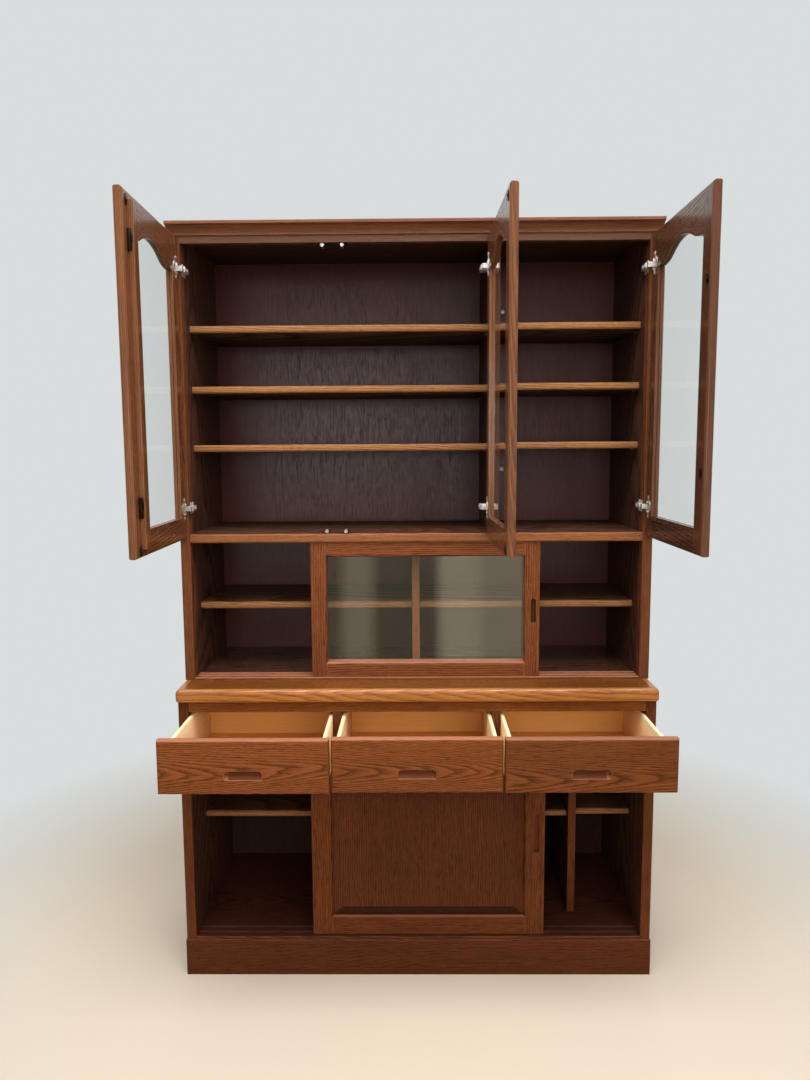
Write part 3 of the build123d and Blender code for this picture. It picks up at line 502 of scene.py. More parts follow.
# the right door: the door stain darkened as painted shade
DARK_DOOR_STAIN = ((0.122, 0.043, 0.0180, 1), (0.045, 0.0147, 0.0054, 1))
STILE_HEART = (0.0, 0.22, 0.05)
DOOR_RAIL_HEART = (0.0, 0.0, -1.5)
BETWEEN_DOOR_RAILS = 1.5
LACQUERED = {"rough": 0.24, "shine": 0.4, "coat": 0.4}

door_upright = oak("door_oak_upright", DOOR_STAIN, "Z", STILE_HEART, **LACQUERED)
door_cross = oak("door_oak_cross", DOOR_STAIN, "Y", DOOR_RAIL_HEART, **LACQUERED)
dark_upright = oak("dark_oak_upright", DARK_DOOR_STAIN, "Z", STILE_HEART, **LACQUERED)
# below this height the right door's bottom rail takes the inside stain, a deeper painted shade
dark_cross = oak(
    "dark_oak_cross", DARK_DOOR_STAIN, "Y", DOOR_RAIL_HEART, under=BETWEEN_DOOR_RAILS, **LACQUERED
)
for door in DOORS:
    dark = door == "right_door"
    dress(dark_upright if dark else door_upright, door + "_stiles", door + "_beads")
    dress(dark_cross if dark else door_cross, door + "_rails")
dress(door_upright, "left_door_meeting_strip")


# The glass: plain clear float glass three millimetres thick, held in rebates in the doors and in
# grooves in the sliding frames. The doors' panes stand edge on to the room and mirror less of it.
GLASS_TINT = (0.97, 0.99, 0.98, 1)
DOOR_GLASS_INDEX = 1.12
SLIDER_GLASS_INDEX = 1.5


def clear_glass(name, index):
    """Clear glass that lets the lamps' light through to what stands behind it."""
    material, tree, shader = new_material(name)
    shader.inputs["Base Color"].default_value = GLASS_TINT
    shader.inputs["Transmission Weight"].default_value = 1.0
    shader.inputs["Roughness"].default_value = 0.0
    shader.inputs["IOR"].default_value = index
    shadow_ray = put(tree, "ShaderNodeLightPath").outputs["Is Shadow Ray"]
    clear = put(tree, "ShaderNodeBsdfTransparent").outputs[0]
    mix = put(tree, "ShaderNodeMixShader", {0: shadow_ray, 1: shader.outputs[0], 2: clear})
    tree.links.new(mix.outputs[0], tree.nodes["Material Output"].inputs["Surface"])
    return material


door_glass = clear_glass("door_glass", DOOR_GLASS_INDEX)
slider_glass = clear_glass("slider_glass", SLIDER_GLASS_INDEX)
for door in DOORS:
    dress(door_glass, door + "_glass")
dress(slider_glass, "front_glass_slider_pane", "rear_glass_slider_pane")


# The sliding doors: mortised oak frames that run in grooves, two with glass between the counter and
# the middle board, two with a veneered panel in the lower cabinet. A pull is routed in each stile.
GLASS_SLIDER_STAIN = ((0.225, 0.068, 0.022, 1), (0.085, 0.023, 0.0065, 1))
WOOD_SLIDER_STAIN = ((0.170, 0.045, 0.0095, 1), (0.056, 0.0135, 0.0026, 1))
WOOD_SLIDER_RAIL_STAIN = ((0.145, 0.036, 0.0080, 1), (0.048, 0.0110, 0.0022, 1))
PANEL_STAIN = ((0.112, 0.028, 0.0072, 1), (0.048, 0.0110, 0.0026, 1))
PULL_HALF_WIDTH = 0.0075
PULL_DEPTHS = (0.0015, 0.012)
# each pull's middle, the face it is cut in, its height and half its length
PULLS = {
    "front_glass_slider": (0.304, -0.142, 0.950, 0.032),
    "rear_glass_slider": (-0.256, -0.120, 0.950, 0.032),
    "front_wood_slider": (0.309, -0.217, 0.381, 0.052),
    "rear_wood_slider": (-0.253, -0.193, 0.381, 0.052),
}

# the sliders' rails: edges paled as wear and painted highlight, and a painted highlight on their upward
# faces
glass_slider_cross = oak(
    "slider_oak_cross", GLASS_SLIDER_STAIN, "X", (0.2, 0.28, -0.92), figure=0.45, wear=0.8, crest=0.7
)
wood_slider_cross = oak(
    "low_slider_cross", WOOD_SLIDER_RAIL_STAIN, "X", (0.2, 0.28, -0.03), wear=0.6, crest=0.6
)
for slider, (middle, face, height, half_pull) in PULLS.items():
    glazed = "glass" in slider
    # each stile: edges paled as wear and painted highlight, and painted shade in its finger pull
    stile_oak = oak(
        slider + "_oak",
        GLASS_SLIDER_STAIN if glazed else WOOD_SLIDER_STAIN,
        "Z",
        (0.4, 0.3, 0.02),
        figure=0.55,
        pores=0.7,
        wear=0.8,
        soft=0.003,
        pull=0.6 if glazed else 1.6,
        hollow=(
            (middle - PULL_HALF_WIDTH, middle + PULL_HALF_WIDTH),
            (face + PULL_DEPTHS[0], face + PULL_DEPTHS[1]),
            (height - half_pull, height + half_pull),
        ),
    )
    dress(stile_oak, slider + "_stiles")
    dress(glass_slider_cross if glazed else wood_slider_cross, slider + "_rails")
dress(glass_slider_cross, "niche_threshold")
# the panel's lower bevel, facing down, gets painted shade
panel_veneer = oak("panel_veneer", PANEL_STAIN, "Z", (0.0, 0.02, 0.8), figure=0.4, pores=0.6, shaded=0.9)
dress(panel_veneer, "front_wood_slider_panel", "rear_wood_slider_panel")


# The hinges: nickelled cup hinges, two to a door. The cup is pressed into a bore in the stile and held
# by a flange with two screws; the arm is screwed through its plate to the side or the partition.
CASE_FRONT = -0.150
DOOR_GAP = 0.003
HINGE_HEIGHTS = (1.222, 1.815)
# each door's hinge edge and the way from there to its free edge, how far it stands open, and how far
# the wall that carries its arms lies from that edge
HINGE_LINES = {"left_door": (-0.606, 1), "middle_door": (0.201, -1), "right_door": (0.606, -1)}
DOOR_OPEN = {"left_door": 89.0, "middle_door": 91.0, "right_door": 90.0}
ARM_WALLS = {"left_door": 0.026, "middle_door": 0.0105, "right_door": 0.026}
NICKEL = (0.80, 0.77, 0.71, 1)
BRIGHT_NICKEL = (0.98, 0.96, 0.92, 1)
PIN_FROM_EDGE = 0.011
PIN_DEPTH = 0.010
PIN_RADIUS = 0.0014
PIN_HALF = 0.0105
CUP_FROM_EDGE = 0.0215
CUP_OUTLINE = (
    (0.0, -0.0128),
    (0.0140, -0.0128),
    (0.0156, -0.0116),
    (0.0160, 0.0002),
    (0.0165, 0.0012),
    (0.0180, 0.0012),
    (0.0186, 0.0006),
    (0.0186, 0.0),
    (0.0174, 0.0),
    (0.0174, -0.0130),
    (0.0166, -0.0140),
    (0.0, -0.0140),
)
FLANGE_NEAR = 0.0150
FLANGE_FAR = 0.0285
FLANGE_HALF_WIDTH = 0.0055
FLANGE_THICK = 0.0011
FLANGE_SOFT = 0.0005
FLANGE_SCREW = 0.0232
SCREW_OUTLINE = (
    (0.0, 0.0004),
    (0.0009, 0.0006),
    (0.0013, 0.0014),
    (0.0026, 0.0012),
    (0.0036, 0.0003),
    (0.0037, 0.0),
)
SCREW_STEPS = 18
ARM_LINE = (
    (0.0085, -0.0152),
    (0.0350, -0.0152),
    (0.0350, 0.0030),
    (0.0270, 0.0030),
    (0.0270, -0.0108),
    (0.0085, -0.0108),
)
ARM_HALF = 0.006
ARM_ROUND = 0.0016
ARM_SOFT = 0.0005
# the arm's body on the wall: its start, its ends along the wall, its top, half its height, its screws
BODY_FOOT = 0.0018
BODY_REACH = (0.0020, 0.0360)
BODY_TOP = 0.0372
BODY_HALF = 0.0070
BODY_SOFT = 0.0020
BODY_SCREWS = (0.0100, 0.0270)
SCREW_SUNK = 0.0001
# the winged plate under it: its ends along the wall, its thickness, half its height, its screws
WING_REACH = (0.0120, 0.0400)
WING_THICK = 0.0020
WING_HALF = 0.0150
WING_SOFT = 0.0006
WING_SCREW = (0.0300, 0.0108)
TARNISH_TONE = 0.7
TARNISH_ROUGH = 0.15


def metal(name, colour, rough):
    """Plated metal with a little tarnish."""
    material, tree, shader = new_material(name)
    place = put(tree, "ShaderNodeTexCoord").outputs["Object"]
    cloud = put(tree, "ShaderNodeTexNoise", {"Vector": place, "Scale": 180.0, "Detail": 3.0}).outputs[0]
    tarnish = ramp(tree, cloud, 0.4, 0.7)
    tarnished = blend_colours(tree, tarnish, colour, toned(colour, TARNISH_TONE))
    tree.links.new(tarnished, shader.inputs["Base Color"])
    tree.links.new(ramp(tree, cloud, 0.3, 0.7, rough, rough + TARNISH_ROUGH), shader.inputs["Roughness"])
    shader.inputs["Metallic"].default_value = 1.0
    return material


def place_new(shape, before, place):
    """Moves what was added to the shape since then to its place."""
    fresh = [vert for vert in shape.verts if vert not in before]
    bmesh.ops.remove_doubles(shape, verts=fresh, dist=1e-6)
    fresh = [vert for vert in shape.verts if vert not in before]
    bmesh.ops.transform(shape, matrix=place, verts=fresh)


def soften(shape, edges, offset, segments):
    """Bevels the edges."""
    bmesh.ops.bevel(
        shape, geom=edges, offset=offset, segments=segments, profile=0.5, affect="EDGES", material=-1
    )


def turn(shape, outline, place, steps=28):
    """Turns an outline of (radius, height) points once round the Z axis of its place."""
    before = set(shape.verts)
    points = [shape.verts.new((radius, 0.0, height)) for radius, height in outline]
    edges = [shape.edges.new(pair) for pair in zip(points, points[1:])]
    bmesh.ops.spin(
        shape,
        geom=points + edges,
        cent=(0, 0, 0),
        axis=(0, 0, 1),
        angle=math.tau,
        steps=steps,
        use_merge=True,
    )
    place_new(shape, before, place)


def block(shape, low, high, soft, place=Matrix(), steps=2):
    """A block between two corners with softened edges."""
    before = set(shape.verts)
    made = bmesh.ops.create_cube(shape, size=1.0)["verts"]
    low, high = Vector(low), Vector(high)
    bmesh.ops.scale(shape, vec=high - low, verts=made)
    bmesh.ops.translate(shape, vec=(high + low) / 2, verts=made)
    soften(shape, list({edge for vert in made for edge in vert.link_edges}), soft, steps)
    place_new(shape, before, place)


def bar(shape, line, low, high, round_by, soft, place=Matrix()):
    """A flat bar cut to a line of (x, y) corners between two heights, its corners rounded."""
    before = set(shape.verts)
    face = shape.faces.new([shape.verts.new((x, y, low)) for x, y in line])
    lifted = bmesh.ops.extrude_face_region(shape, geom=[face])["geom"]
    tops = [part for part in lifted if isinstance(part, bmesh.types.BMVert)]
    bmesh.ops.translate(shape, vec=(0, 0, high - low), verts=tops)
    fresh = {edge for vert in shape.verts if vert not in before for edge in vert.link_edges}
    upright = [edge for edge in fresh if abs(edge.verts[0].co.z - edge.verts[1].co.z) > 1e-6]
    soften(shape, upright, round_by, 4)
    fresh = {edge for vert in shape.verts if vert not in before for edge in vert.link_edges}
    flat = [edge for edge in fresh if abs(edge.verts[0].co.z - edge.verts[1].co.z) < 1e-6]
    soften(shape, flat, soft, 1)
    place_new(shape, before, place)


def finish_piece(name, shape, material, body, turned_by=Matrix()):
    """Puts the shape in its place, makes it an object that rides on its body, and gives it its material."""
    bmesh.ops.transform(shape, matrix=turned_by, verts=shape.verts)
    bmesh.ops.recalc_face_normals(shape, faces=shape.faces)
    mesh = bpy.data.meshes.new(name)
    shape.to_mesh(mesh)
    shape.free()
    mesh.polygons.foreach_set("use_smooth", [True] * len(mesh.polygons))
    mesh.set_sharp_from_angle(angle=math.radians(35))
    mesh.materials.append(material)
    made = bpy.data.objects.new(name, mesh)
    bpy.context.scene.collection.objects.link(made)
    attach(made, body)
    return made


def facing(place, direction):
    """A place whose Z axis looks along a direction."""
    return Matrix.Translation(place) @ Vector(direction).to_track_quat("Z", "Y").to_matrix().to_4x4()


def screw(shape, place, direction):
    """A screw head on a face that looks along the direction."""
    turn(shape, SCREW_OUTLINE, facing(place, direction), SCREW_STEPS)


def hung(door):
    """The place of a door that is drawn closed, its hinge edge at x = 0 and its inner face at y = 0."""
    edge, side = HINGE_LINES[door]
    drawn = Matrix.Translation((edge, CASE_FRONT - DOOR_GAP, 0)) @ Matrix.Scale(side, 4, (1, 0, 0))
    pin = Vector((edge + side * PIN_FROM_EDGE, CASE_FRONT - DOOR_GAP - PIN_DEPTH, 0))
    swing = Matrix.Rotation(math.radians(-side * DOOR_OPEN[door]), 4, "Z")
    return Matrix.Translation(pin) @ swing @ Matrix.Translation(-pin) @ drawn


def add_cup(shape, height):
    """Cup, flange, screws and cross pin, sunk into the stile's inner face."""
    turn(shape, CUP_OUTLINE, facing((CUP_FROM_EDGE, 0, height), (0, 1, 0)), 40)
    for way in (-1, 1):
        low, high = sorted((height + way * FLANGE_NEAR, height + way * FLANGE_FAR))
        block(
            shape,
            (CUP_FROM_EDGE - FLANGE_HALF_WIDTH, 0.0, low),
            (CUP_FROM_EDGE + FLANGE_HALF_WIDTH, FLANGE_THICK, high),
            FLANGE_SOFT,
        )
        screw(shape, (CUP_FROM_EDGE, FLANGE_THICK, height + way * FLANGE_SCREW), (0, 1, 0))
    pin_outline = ((0.0, -PIN_HALF), (PIN_RADIUS, -PIN_HALF), (PIN_RADIUS, PIN_HALF), (0.0, PIN_HALF))
    turn(shape, pin_outline, Matrix.Translation((PIN_FROM_EDGE, -PIN_DEPTH, height)), 12)


def add_arm(shape, height, wall):
    """Cranked arm, its ribbed body with the adjusting screws, and the winged plate on the wall."""
    before = set(shape.verts)
    bar(shape, ARM_LINE, -ARM_HALF, ARM_HALF, ARM_ROUND, ARM_SOFT)
    near, far = BODY_REACH
    block(shape, (wall + BODY_FOOT, near, -BODY_HALF), (BODY_TOP, far, BODY_HALF), BODY_SOFT, steps=3)
    near, far = WING_REACH
    block(shape, (wall, near, -WING_HALF), (wall + WING_THICK, far, WING_HALF), WING_SOFT)
    for along in BODY_SCREWS:
        screw(shape, (BODY_TOP - SCREW_SUNK, along, 0), (1, 0, 0))
    along, off_middle = WING_SCREW
    for way in (-1, 1):
        screw(shape, (wall + WING_THICK, along, way * off_middle), (1, 0, 0))
    fresh = [vert for vert in shape.verts if vert not in before]
    bmesh.ops.translate(shape, vec=(0, 0, height), verts=fresh)


nickel = metal("nickelled_steel", NICKEL, 0.34)
for door in DOORS:
    cups = bmesh.new()
    for height in HINGE_HEIGHTS:
        add_cup(cups, height)
    cups_piece = finish_piece(door + "_hinge_cups", cups, nickel, door, hung(door))
    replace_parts(cups_piece, door + "_hardware")

bright_nickel = metal("bright_nickel", BRIGHT_NICKEL, 0.45)
arms = bmesh.new()
for door, (edge, side) in HINGE_LINES.items():
    before = set(arms.verts)
    for height in HINGE_HEIGHTS:
        add_arm(arms, height, ARM_WALLS[door])
    hand = Matrix.Translation((edge, CASE_FRONT, 0)) @ Matrix.Scale(side, 4, (1, 0, 0))
    bmesh.ops.transform(arms, matrix=hand, verts=[vert for vert in arms.verts if vert not in before])
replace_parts(finish_piece("hinge_arm_set", arms, bright_nickel, "cabinet"), "hinge_arms")


# The strikes and latches on the doors: small bronzed steel ovals, each held by one screw, that meet
# the magnets, and two bronzed latch bodies beside the strip on the left door.
STRIKE_SPOTS = {
    "left_door": ((0.379, 1.161), (0.379, 1.871)),
    "middle_door": ((0.379, 1.161), (0.379, 1.871)),
    "right_door": ((0.3855, 1.318), (0.3855, 1.706)),
}
STRIKE_RADII = (0.007, 0.011)
STRIKE_CORNERS = 24
STRIKE_THICK = 0.0016
STRIKE_ROUND = 0.0001
STRIKE_SOFT = 0.0004
LATCH_HEIGHTS = (1.251, 1.794)
# the body and the tongue of a latch: two corners, seen from its height, and how soft the edges are
LATCH_BLOCKS = (
    ((0.3722, 0.0, -0.022), (0.3808, 0.0080, 0.022), 0.0018),
    ((0.3738, 0.0078, -0.006), (0.3792, 0.0096, 0.012), 0.0008),
)
BRONZE = (0.040, 0.028, 0.020, 1)

bronze = metal("bronzed_steel", BRONZE, 0.35)
strike_turns = [math.tau * corner / STRIKE_CORNERS for corner in range(STRIKE_CORNERS)]
strike_oval = [(STRIKE_RADII[0] * math.cos(a), STRIKE_RADII[1] * math.sin(a)) for a in strike_turns]
for door in DOORS:
    strikes = bmesh.new()
    for reach, height in STRIKE_SPOTS[door]:
        place = Matrix.Translation((reach, 0, height)) @ Matrix.Rotation(math.radians(-90), 4, "X")
        bar(strikes, strike_oval, 0.0, STRIKE_THICK, STRIKE_ROUND, STRIKE_SOFT, place)
        screw(strikes, (reach, STRIKE_THICK, height), (0, 1, 0))
    if door == "left_door":
        for height in LATCH_HEIGHTS:
            for low, high, soft in LATCH_BLOCKS:
                block(strikes, low, high, soft, Matrix.Translation((0, 0, height)))
    finish_piece(door + "_strikes", strikes, bronze, door, hung(door))


# The catches: bronzed plates screwed to the middle board, the upper rail and the partition, each with
# one or two round magnets in bright steel sleeves that hold the doors shut.
PLATE_CORNERS = (0.0063, 0.0105, 0.0158, 0.0200)
PLATE_THICK = 0.0020
PLATE_ROUND = 0.0015
PLATE_SOFT = 0.0005
PLATE_WING = 0.008
PLATE_SCREW = (0.006, 0.0132)
DOUBLE_PLATE = 0.080
SINGLE_PLATE = 0.036
MAGNET_PAIR = (-0.0245, 0.0245)
HOUSING = ((-0.0065, 0.0070, 0.0015), (0.0065, 0.0200, 0.0095))
HOUSING_SOFT = 0.0015
MAGNET_FRONT = 0.0002
MAGNET_HEIGHT = 0.0060
MAGNET_OUTLINE = (
    (0.0, -0.0001),
    (0.0030, -0.0001),
    (0.0032, 0.0005),
    (0.0036, 0.0005),
    (0.0038, -0.0004),
    (0.0046, -0.0004),
    (0.0050, 0.0002),
    (0.0050, 0.0200),
    (0.0044, 0.0209),
    (0.0, 0.0209),
)
# where each catch's plate lies, its face turned up, down or sideways, its length and its magnets
UPSIDE = Matrix.Rotation(math.radians(180), 4, "Y")
SIDEWAYS = Matrix.Rotation(math.radians(90), 4, "Y")
CATCHES = (
    (Matrix.Translation((-0.203, CASE_FRONT, 1.155)), DOUBLE_PLATE, MAGNET_PAIR),
    (Matrix.Translation((-0.203, CASE_FRONT, 1.877)) @ UPSIDE, DOUBLE_PLATE, MAGNET_PAIR),
    (Matrix.Translation((0.2145, CASE_FRONT, 1.318)) @ SIDEWAYS, SINGLE_PLATE, (0.0,)),
    (Matrix.Translation((0.2145, CASE_FRONT, 1.706)) @ SIDEWAYS, SINGLE_PLATE, (0.0,)),
)


def add_catch(plates, magnets, place, length, spots):
    """A plate that lies on z = 0 with its front towards -Y, and the magnets on it."""
    half = length / 2
    near, near_wing, far_wing, far = PLATE_CORNERS
    outline = (
        (-half, near_wing),
        (-half + PLATE_WING, near),
        (half - PLATE_WING, near),
        (half, near_wing),
        (half, far_wing),
        (half - PLATE_WING, far),
        (-half + PLATE_WING, far),
        (-half, far_wing),
    )
    bar(plates, outline, 0.0, PLATE_THICK, PLATE_ROUND, PLATE_SOFT, place)
    from_end, depth = PLATE_SCREW
    for way in (-1, 1):
        spot = place @ Matrix.Translation((way * (half - from_end), depth, PLATE_THICK))
        turn(plates, SCREW_OUTLINE, spot, SCREW_STEPS)
    for x in spots:
        block(plates, *HOUSING, HOUSING_SOFT, place @ Matrix.Translation((x, 0, 0)))
        turn(magnets, MAGNET_OUTLINE, place @ facing((x, MAGNET_FRONT, MAGNET_HEIGHT), (0, 1, 0)), 24)


catch_plates = bmesh.new()
catch_magnets = bmesh.new()
for place, length, spots in CATCHES:
    add_catch(catch_plates, catch_magnets, place, length, spots)
plates_piece = finish_piece("catch_plates", catch_plates, bronze, "cabinet")
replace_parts(plates_piece, "door_catches")
finish_piece("catch_magnets", catch_magnets, nickel, "cabinet")


# The shelf pins: turned steel studs with a collar, four under each loose shelf, pushed into holes in
# the walls.
STUD_OUTLINE = (
    (0.0, 0.0),
    (0.0025, 0.0),
    (0.0034, 0.0002),
    (0.0034, 0.0012),
    (0.0024, 0.0015),
    (0.0024, 0.0074),
    (0.0018, 0.0080),
    (0.0, 0.0080),
)
STUD_RADIUS = 0.0024
STUD_FROM_FRONT = 0.045
REAR_STUD_DEPTH = 0.167
DULL_STEEL = (0.22, 0.19, 0.16, 1)
# walls left and right of the shelf, the shelf's front and its underside
PINNED_SHELVES = (
    (-0.580, 0.1905, -0.085, 1.365),
    (-0.580, 0.1905, -0.085, 1.516),
    (-0.580, 0.1905, -0.085, 1.670),
    (0.2145, 0.580, -0.085, 1.368),
    (0.2145, 0.580, -0.085, 1.520),
    (0.2145, 0.580, -0.085, 1.673),
    (-0.580, -0.010, -0.070, 0.945),
    (0.010, 0.580, -0.070, 0.945),
    (-0.580, 0.410, -0.092, 0.368),
    (0.430, 0.580, -0.092, 0.373),
)

studs = bmesh.new()
for left, right, front, underside in PINNED_SHELVES:
    for depth in (front + STUD_FROM_FRONT, REAR_STUD_DEPTH):
        turn(studs, STUD_OUTLINE, facing((left, depth, underside - STUD_RADIUS), (1, 0, 0)), 16)
        turn(studs, STUD_OUTLINE, facing((right, depth, underside - STUD_RADIUS), (-1, 0, 0)), 16)
dull_steel = metal("dull_steel", DULL_STEEL, 0.45)
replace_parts(finish_piece("shelf_studs", studs, dull_steel, "cabinet"), "shelf_pins")


# The drawers: a front of solid oak with a routed finger pull, glued to a box with two sides of pale
# softwood, a lacquered back that has aged to orange, and a thin veneered bottom in grooves.
FRONT_STAIN = ((0.225, 0.065, 0.0160, 1), (0.088, 0.022, 0.0050, 1))
BOX_SIDE_WOOD = ((0.960, 0.740, 0.450, 1), (0.880, 0.600, 0.320, 1))
BOX_BACK_WOOD = ((0.960, 0.540, 0.175, 1), (0.860, 0.415, 0.110, 1))
BOX_BOTTOM_WOOD = ((0.890, 0.370, 0.090, 1), (0.780, 0.285, 0.058, 1))
BOX_WALL = 0.009
BOX_LENGTH = 0.350
BOX_FOOT = 0.5764
BOX_TOP = 0.6980
BOX_SOFT = 0.0012
BOTTOM_UNDER = 0.5864
BOTTOM_OVER = 0.5904
BOTTOM_FROM_SIDE = 0.005
BOTTOM_FROM_FRONT = 0.0004
BOTTOM_SOFT = 0.0004
DRAWER_PULL_HALF = 0.0445
DRAWER_PULL_DEPTHS = (-0.0192, -0.005)
DRAWER_PULL_HEIGHTS = (0.605, 0.629)
# each box's ends, the depth of its front and how far its front is darkened as painted shade
DRAWERS = {
    "left_drawer": (-0.579, -0.213, -0.389, 1.0),
    "middle_drawer": (-0.189, 0.189, -0.382, 1.0),
    "right_drawer": (0.213, 0.579, -0.385, 0.8),
}

box_side_wood = oak(
    "box_side_wood", BOX_SIDE_WOOD, "Y", (0.1, 0.5, -0.45), pores=0.0, wear=0.0, relief=0.1
)
box_back_wood = oak(
    "box_back_wood", BOX_BACK_WOOD, "X", (0.1, 0.02, -1.3), figure=0.3, pores=0.05, wear=0.2, relief=0.1
)
box_bottom_wood = oak(
    "box_bottom_wood", BOX_BOTTOM_WOOD, "X", (0.1, 0.5, -0.7), pores=0.1, wear=0.0, relief=0.1
)
for drawer, (left, right, near, tone) in DRAWERS.items():
    middle = (left + right) / 2
    # each front: painted shade in its finger pull, edges paled as wear and painted highlight, and a painted
    # highlight on its top
    front_oak = oak(
        drawer + "_oak",
        [toned(colour, tone) for colour in FRONT_STAIN],
        "X",
        (middle * 0.7, 0.36, -0.62 + middle * 0.03),
        ring=0.0032,
        taper=0.05,
        figure=0.36,
        pores=0.6,
        pull=1.1,
        wear=0.9,
        soft=0.0035,
        crest=0.9,
        hollow=(
            (middle - DRAWER_PULL_HALF, middle + DRAWER_PULL_HALF),
            (near + DRAWER_PULL_DEPTHS[0], near + DRAWER_PULL_DEPTHS[1]),
            DRAWER_PULL_HEIGHTS,
        ),
    )
    dress(front_oak, drawer + "_front")
    far = near + BOX_LENGTH
    sides = bmesh.new()
    block(sides, (left, near, BOX_FOOT), (left + BOX_WALL, far, BOX_TOP), BOX_SOFT)
    block(sides, (right - BOX_WALL, near, BOX_FOOT), (right, far, BOX_TOP), BOX_SOFT)
    sides_piece = finish_piece(drawer + "_sides", sides, box_side_wood, drawer)
    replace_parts(sides_piece, drawer + "_box")
    back = bmesh.new()
    block(back, (left + BOX_WALL, far - BOX_WALL, BOX_FOOT), (right - BOX_WALL, far, BOX_TOP), BOX_SOFT)
    finish_piece(drawer + "_back", back, box_back_wood, drawer)
    bottom = bmesh.new()
    block(
        bottom,
        (left + BOTTOM_FROM_SIDE, near + BOTTOM_FROM_FRONT, BOTTOM_UNDER),
        (right - BOTTOM_FROM_SIDE, far - BOX_WALL, BOTTOM_OVER),
        BOTTOM_SOFT,
        steps=1,
    )
    finish_piece(drawer + "_bottom", bottom, box_bottom_wood, drawer)
dress(box_back_wood, "drawer_runners")


# The studio: a pale floor that fades into a pale surround, a broad lamp above, one in front and a
# weaker one behind. Glass, metal and lacquer mirror a dimmer room in front of the cabinet, with pale
# bands on its floor and one bright window in its far wall.
SURROUND = (0.69, 0.72, 0.72, 1)
WARM_SURROUND = (0.95, 0.82, 0.58, 1)
STUDIO_FLOOR = (0.62, 0.53, 0.42, 1)
FLOOR_RADIUS = 12.0
FLOOR_DROP = 0.0005
FLOOR_FADE = (0.95, 1.8)
VIEWER_DISTANCE = 2.2
MIRRORED_FLOOR = 0.30
# where each pale band on the mirrored floor starts and ends, seen from the viewer, and its brightness
FLOOR_BANDS = ((-0.088, -0.050, 0.50), (0.030, 0.080, 0.95), (0.080, 0.170, 0.60))
BAND_BLUR = 0.008
UNSEEN_STRENGTH = 0.35
# how the mirrored room dims: on the cabinet's front side, above its floor, and at the left below that
ROOM_SIDE = (-0.5, 0.3, 1.0, 0.0)
ROOM_WALL = (-0.10, 0.02, 0.0, 0.90)
ROOM_LOW_LEFT = (0.00, 0.03, 0.75, 0.20)
# the window's side edges by their bearing, its middle and half its height by their slope
WINDOW_LEFT = (-0.20, -0.15)
WINDOW_RIGHT = (-0.09, 0.10)
WINDOW_SLOPE = 0.035
WINDOW_HALF_HEIGHT = 0.070
WINDOW_BLUR = (0.7, 1.3, 1.0, 0.0)
WINDOW_STRENGTH = 9.0
# each lamp's place, what it points at, its size, its power and whether lacquer and metal mirror it
LAMPS = {
    "lamp_above": ((0.0, -1.3, 3.5), (0.0, -0.25, 0.8), (3.4, 1.8), 150.0, True),
    "lamp_front": ((0.6, -3.4, 2.1), (0.0, 0.0, 1.3), (3.6, 2.2), 88.0, False),
    "lamp_behind": ((0.0, 3.4, 2.2), (0.0, 0.2, 1.0), (3.6, 2.2), 45.0, False),
}


def ray_masks(tree):
    """A mask of what is seen, directly or in a mirror or through glass, and one of what is mirrored."""
    path = put(tree, "ShaderNodeLightPath").outputs
    seen = sums(tree, "MAXIMUM", path["Is Camera Ray"], path["Is Glossy Ray"])
    seen = sums(tree, "MAXIMUM", seen, path["Is Transmission Ray"])
    return seen, sums(tree, "MINIMUM", path["Glossy Depth"], 1.0)


def studio_floor():
    """A wide disc whose colour fades into the surround, so that it has no edge."""
    mesh = bpy.data.meshes.new("studio_floor")
    shape = bmesh.new()
    bmesh.ops.create_circle(shape, cap_ends=True, segments=96, radius=FLOOR_RADIUS)
    shape.to_mesh(mesh)
    shape.free()
    floor = bpy.data.objects.new("studio_floor", mesh)
    bpy.context.scene.collection.objects.link(floor)
    floor.location.z = -FLOOR_DROP
    material, tree, shader = new_material("studio_floor")
    shader.inputs["Base Color"].default_value = STUDIO_FLOOR
    shader.inputs["Roughness"].default_value = 0.9
    place = put(tree, "ShaderNodeTexCoord").outputs["Object"]
    seen, mirrored = ray_masks(tree)
    far = vector_sums(tree, "LENGTH", place)["Value"]
    fade = sums(tree, "MULTIPLY", ramp(tree, far, *FLOOR_FADE), seen)
    across = put(tree, "ShaderNodeSeparateXYZ", {0: place}).outputs
    ahead = sums(tree, "SUBTRACT", VIEWER_DISTANCE, across["Y"])
    bearing = sums(tree, "DIVIDE", across["X"], ahead)
    bright = MIRRORED_FLOOR
    for start, end, strength in FLOOR_BANDS:
        rise = (start - BAND_BLUR, start + BAND_BLUR)
        fall = (end - BAND_BLUR, end + BAND_BLUR)
        bright = sums(tree, "MULTIPLY_ADD", between(tree, bearing, rise, fall), strength, bright)
    level = sums(tree, "SUBTRACT", bright, 1.0)
    level = sums(tree, "MULTIPLY_ADD", level, mirrored, 1.0)
    tint = blend_colours(tree, mirrored, SURROUND, WARM_SURROUND)
    glow = put(tree, "ShaderNodeEmission", {"Color": tint, "Strength": level}).outputs[0]
    mix = put(tree, "ShaderNodeMixShader", {0: fade, 1: shader.outputs[0], 2: glow})
    tree.links.new(mix.outputs[0], tree.nodes["Material Output"].inputs["Surface"])
    floor.data.materials.append(material)


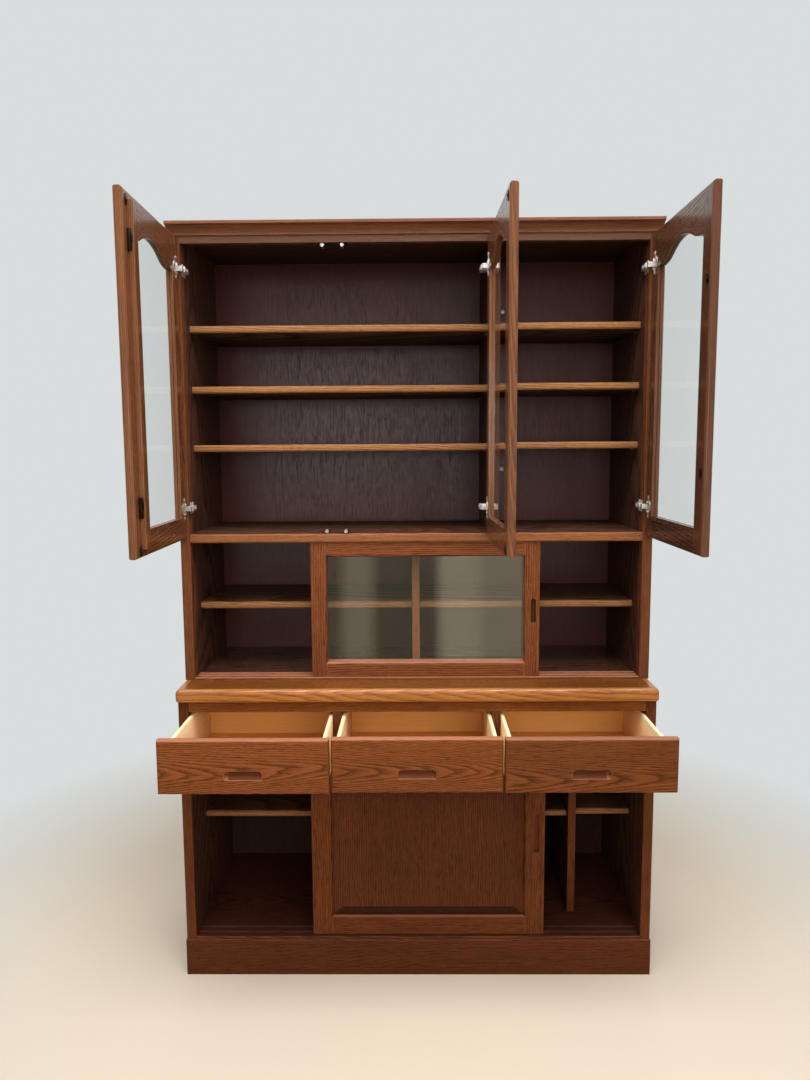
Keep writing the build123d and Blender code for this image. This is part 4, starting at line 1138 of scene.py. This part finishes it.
def studio_lamp(name, place, target, size, power, shines):
    """A soft square lamp that points at the target."""
    light = bpy.data.lights.new(name, "AREA")
    light.shape = "RECTANGLE"
    light.size, light.size_y = size
    light.energy = power
    lamp = bpy.data.objects.new(name, light)
    bpy.context.scene.collection.objects.link(lamp)
    lamp.location = place
    lamp.rotation_euler = (Vector(target) - Vector(place)).to_track_quat("-Z", "Y").to_euler()
    lamp.visible_camera = False
    lamp.visible_glossy = shines
    lamp.visible_transmission = False


def studio_surround():
    """The world: pale to the eye, dimmer as a light, and in mirrors the room in front of the cabinet."""
    world = bpy.data.worlds.new("surround")
    bpy.context.scene.world = world
    world.use_nodes = True
    tree = world.node_tree
    seen, mirrored = ray_masks(tree)
    way = put(tree, "ShaderNodeTexCoord").outputs["Generated"]
    way = put(tree, "ShaderNodeSeparateXYZ", {0: way}).outputs
    room = sums(tree, "MULTIPLY", ramp(tree, way["Y"], *ROOM_SIDE), mirrored)
    walls = sums(tree, "MAXIMUM", ramp(tree, way["Z"], *ROOM_WALL), ramp(tree, way["X"], *ROOM_LOW_LEFT))
    dim = sums(tree, "MULTIPLY", room, walls)
    strength = ramp(tree, seen, 0.0, 1.0, UNSEEN_STRENGTH, 1.0)
    strength = sums(tree, "MULTIPLY", strength, outside_of(tree, dim))
    # the window, by its bearing and its slope from the cabinet
    ahead = sums(tree, "MAXIMUM", sums(tree, "MULTIPLY", way["Y"], -1.0), 0.05)
    bearing = sums(tree, "DIVIDE", way["X"], ahead)
    slope = sums(tree, "DIVIDE", way["Z"], ahead)
    off_height = sums(tree, "ABSOLUTE", sums(tree, "SUBTRACT", slope, WINDOW_SLOPE))
    off_height = sums(tree, "DIVIDE", off_height, WINDOW_HALF_HEIGHT)
    window = between(tree, bearing, WINDOW_LEFT, WINDOW_RIGHT)
    window = sums(tree, "MULTIPLY", window, ramp(tree, off_height, *WINDOW_BLUR))
    window = sums(tree, "MULTIPLY", window, mirrored)
    strength = sums(tree, "MULTIPLY_ADD", window, WINDOW_STRENGTH, strength)
    background = tree.nodes["Background"]
    background.inputs["Color"].default_value = SURROUND
    tree.links.new(strength, background.inputs["Strength"])


studio_floor()
for name, (place, target, size, power, shines) in LAMPS.items():
    studio_lamp(name, place, target, size, power, shines)
studio_surround()
bpy.context.scene.view_settings.view_transform = "Standard"
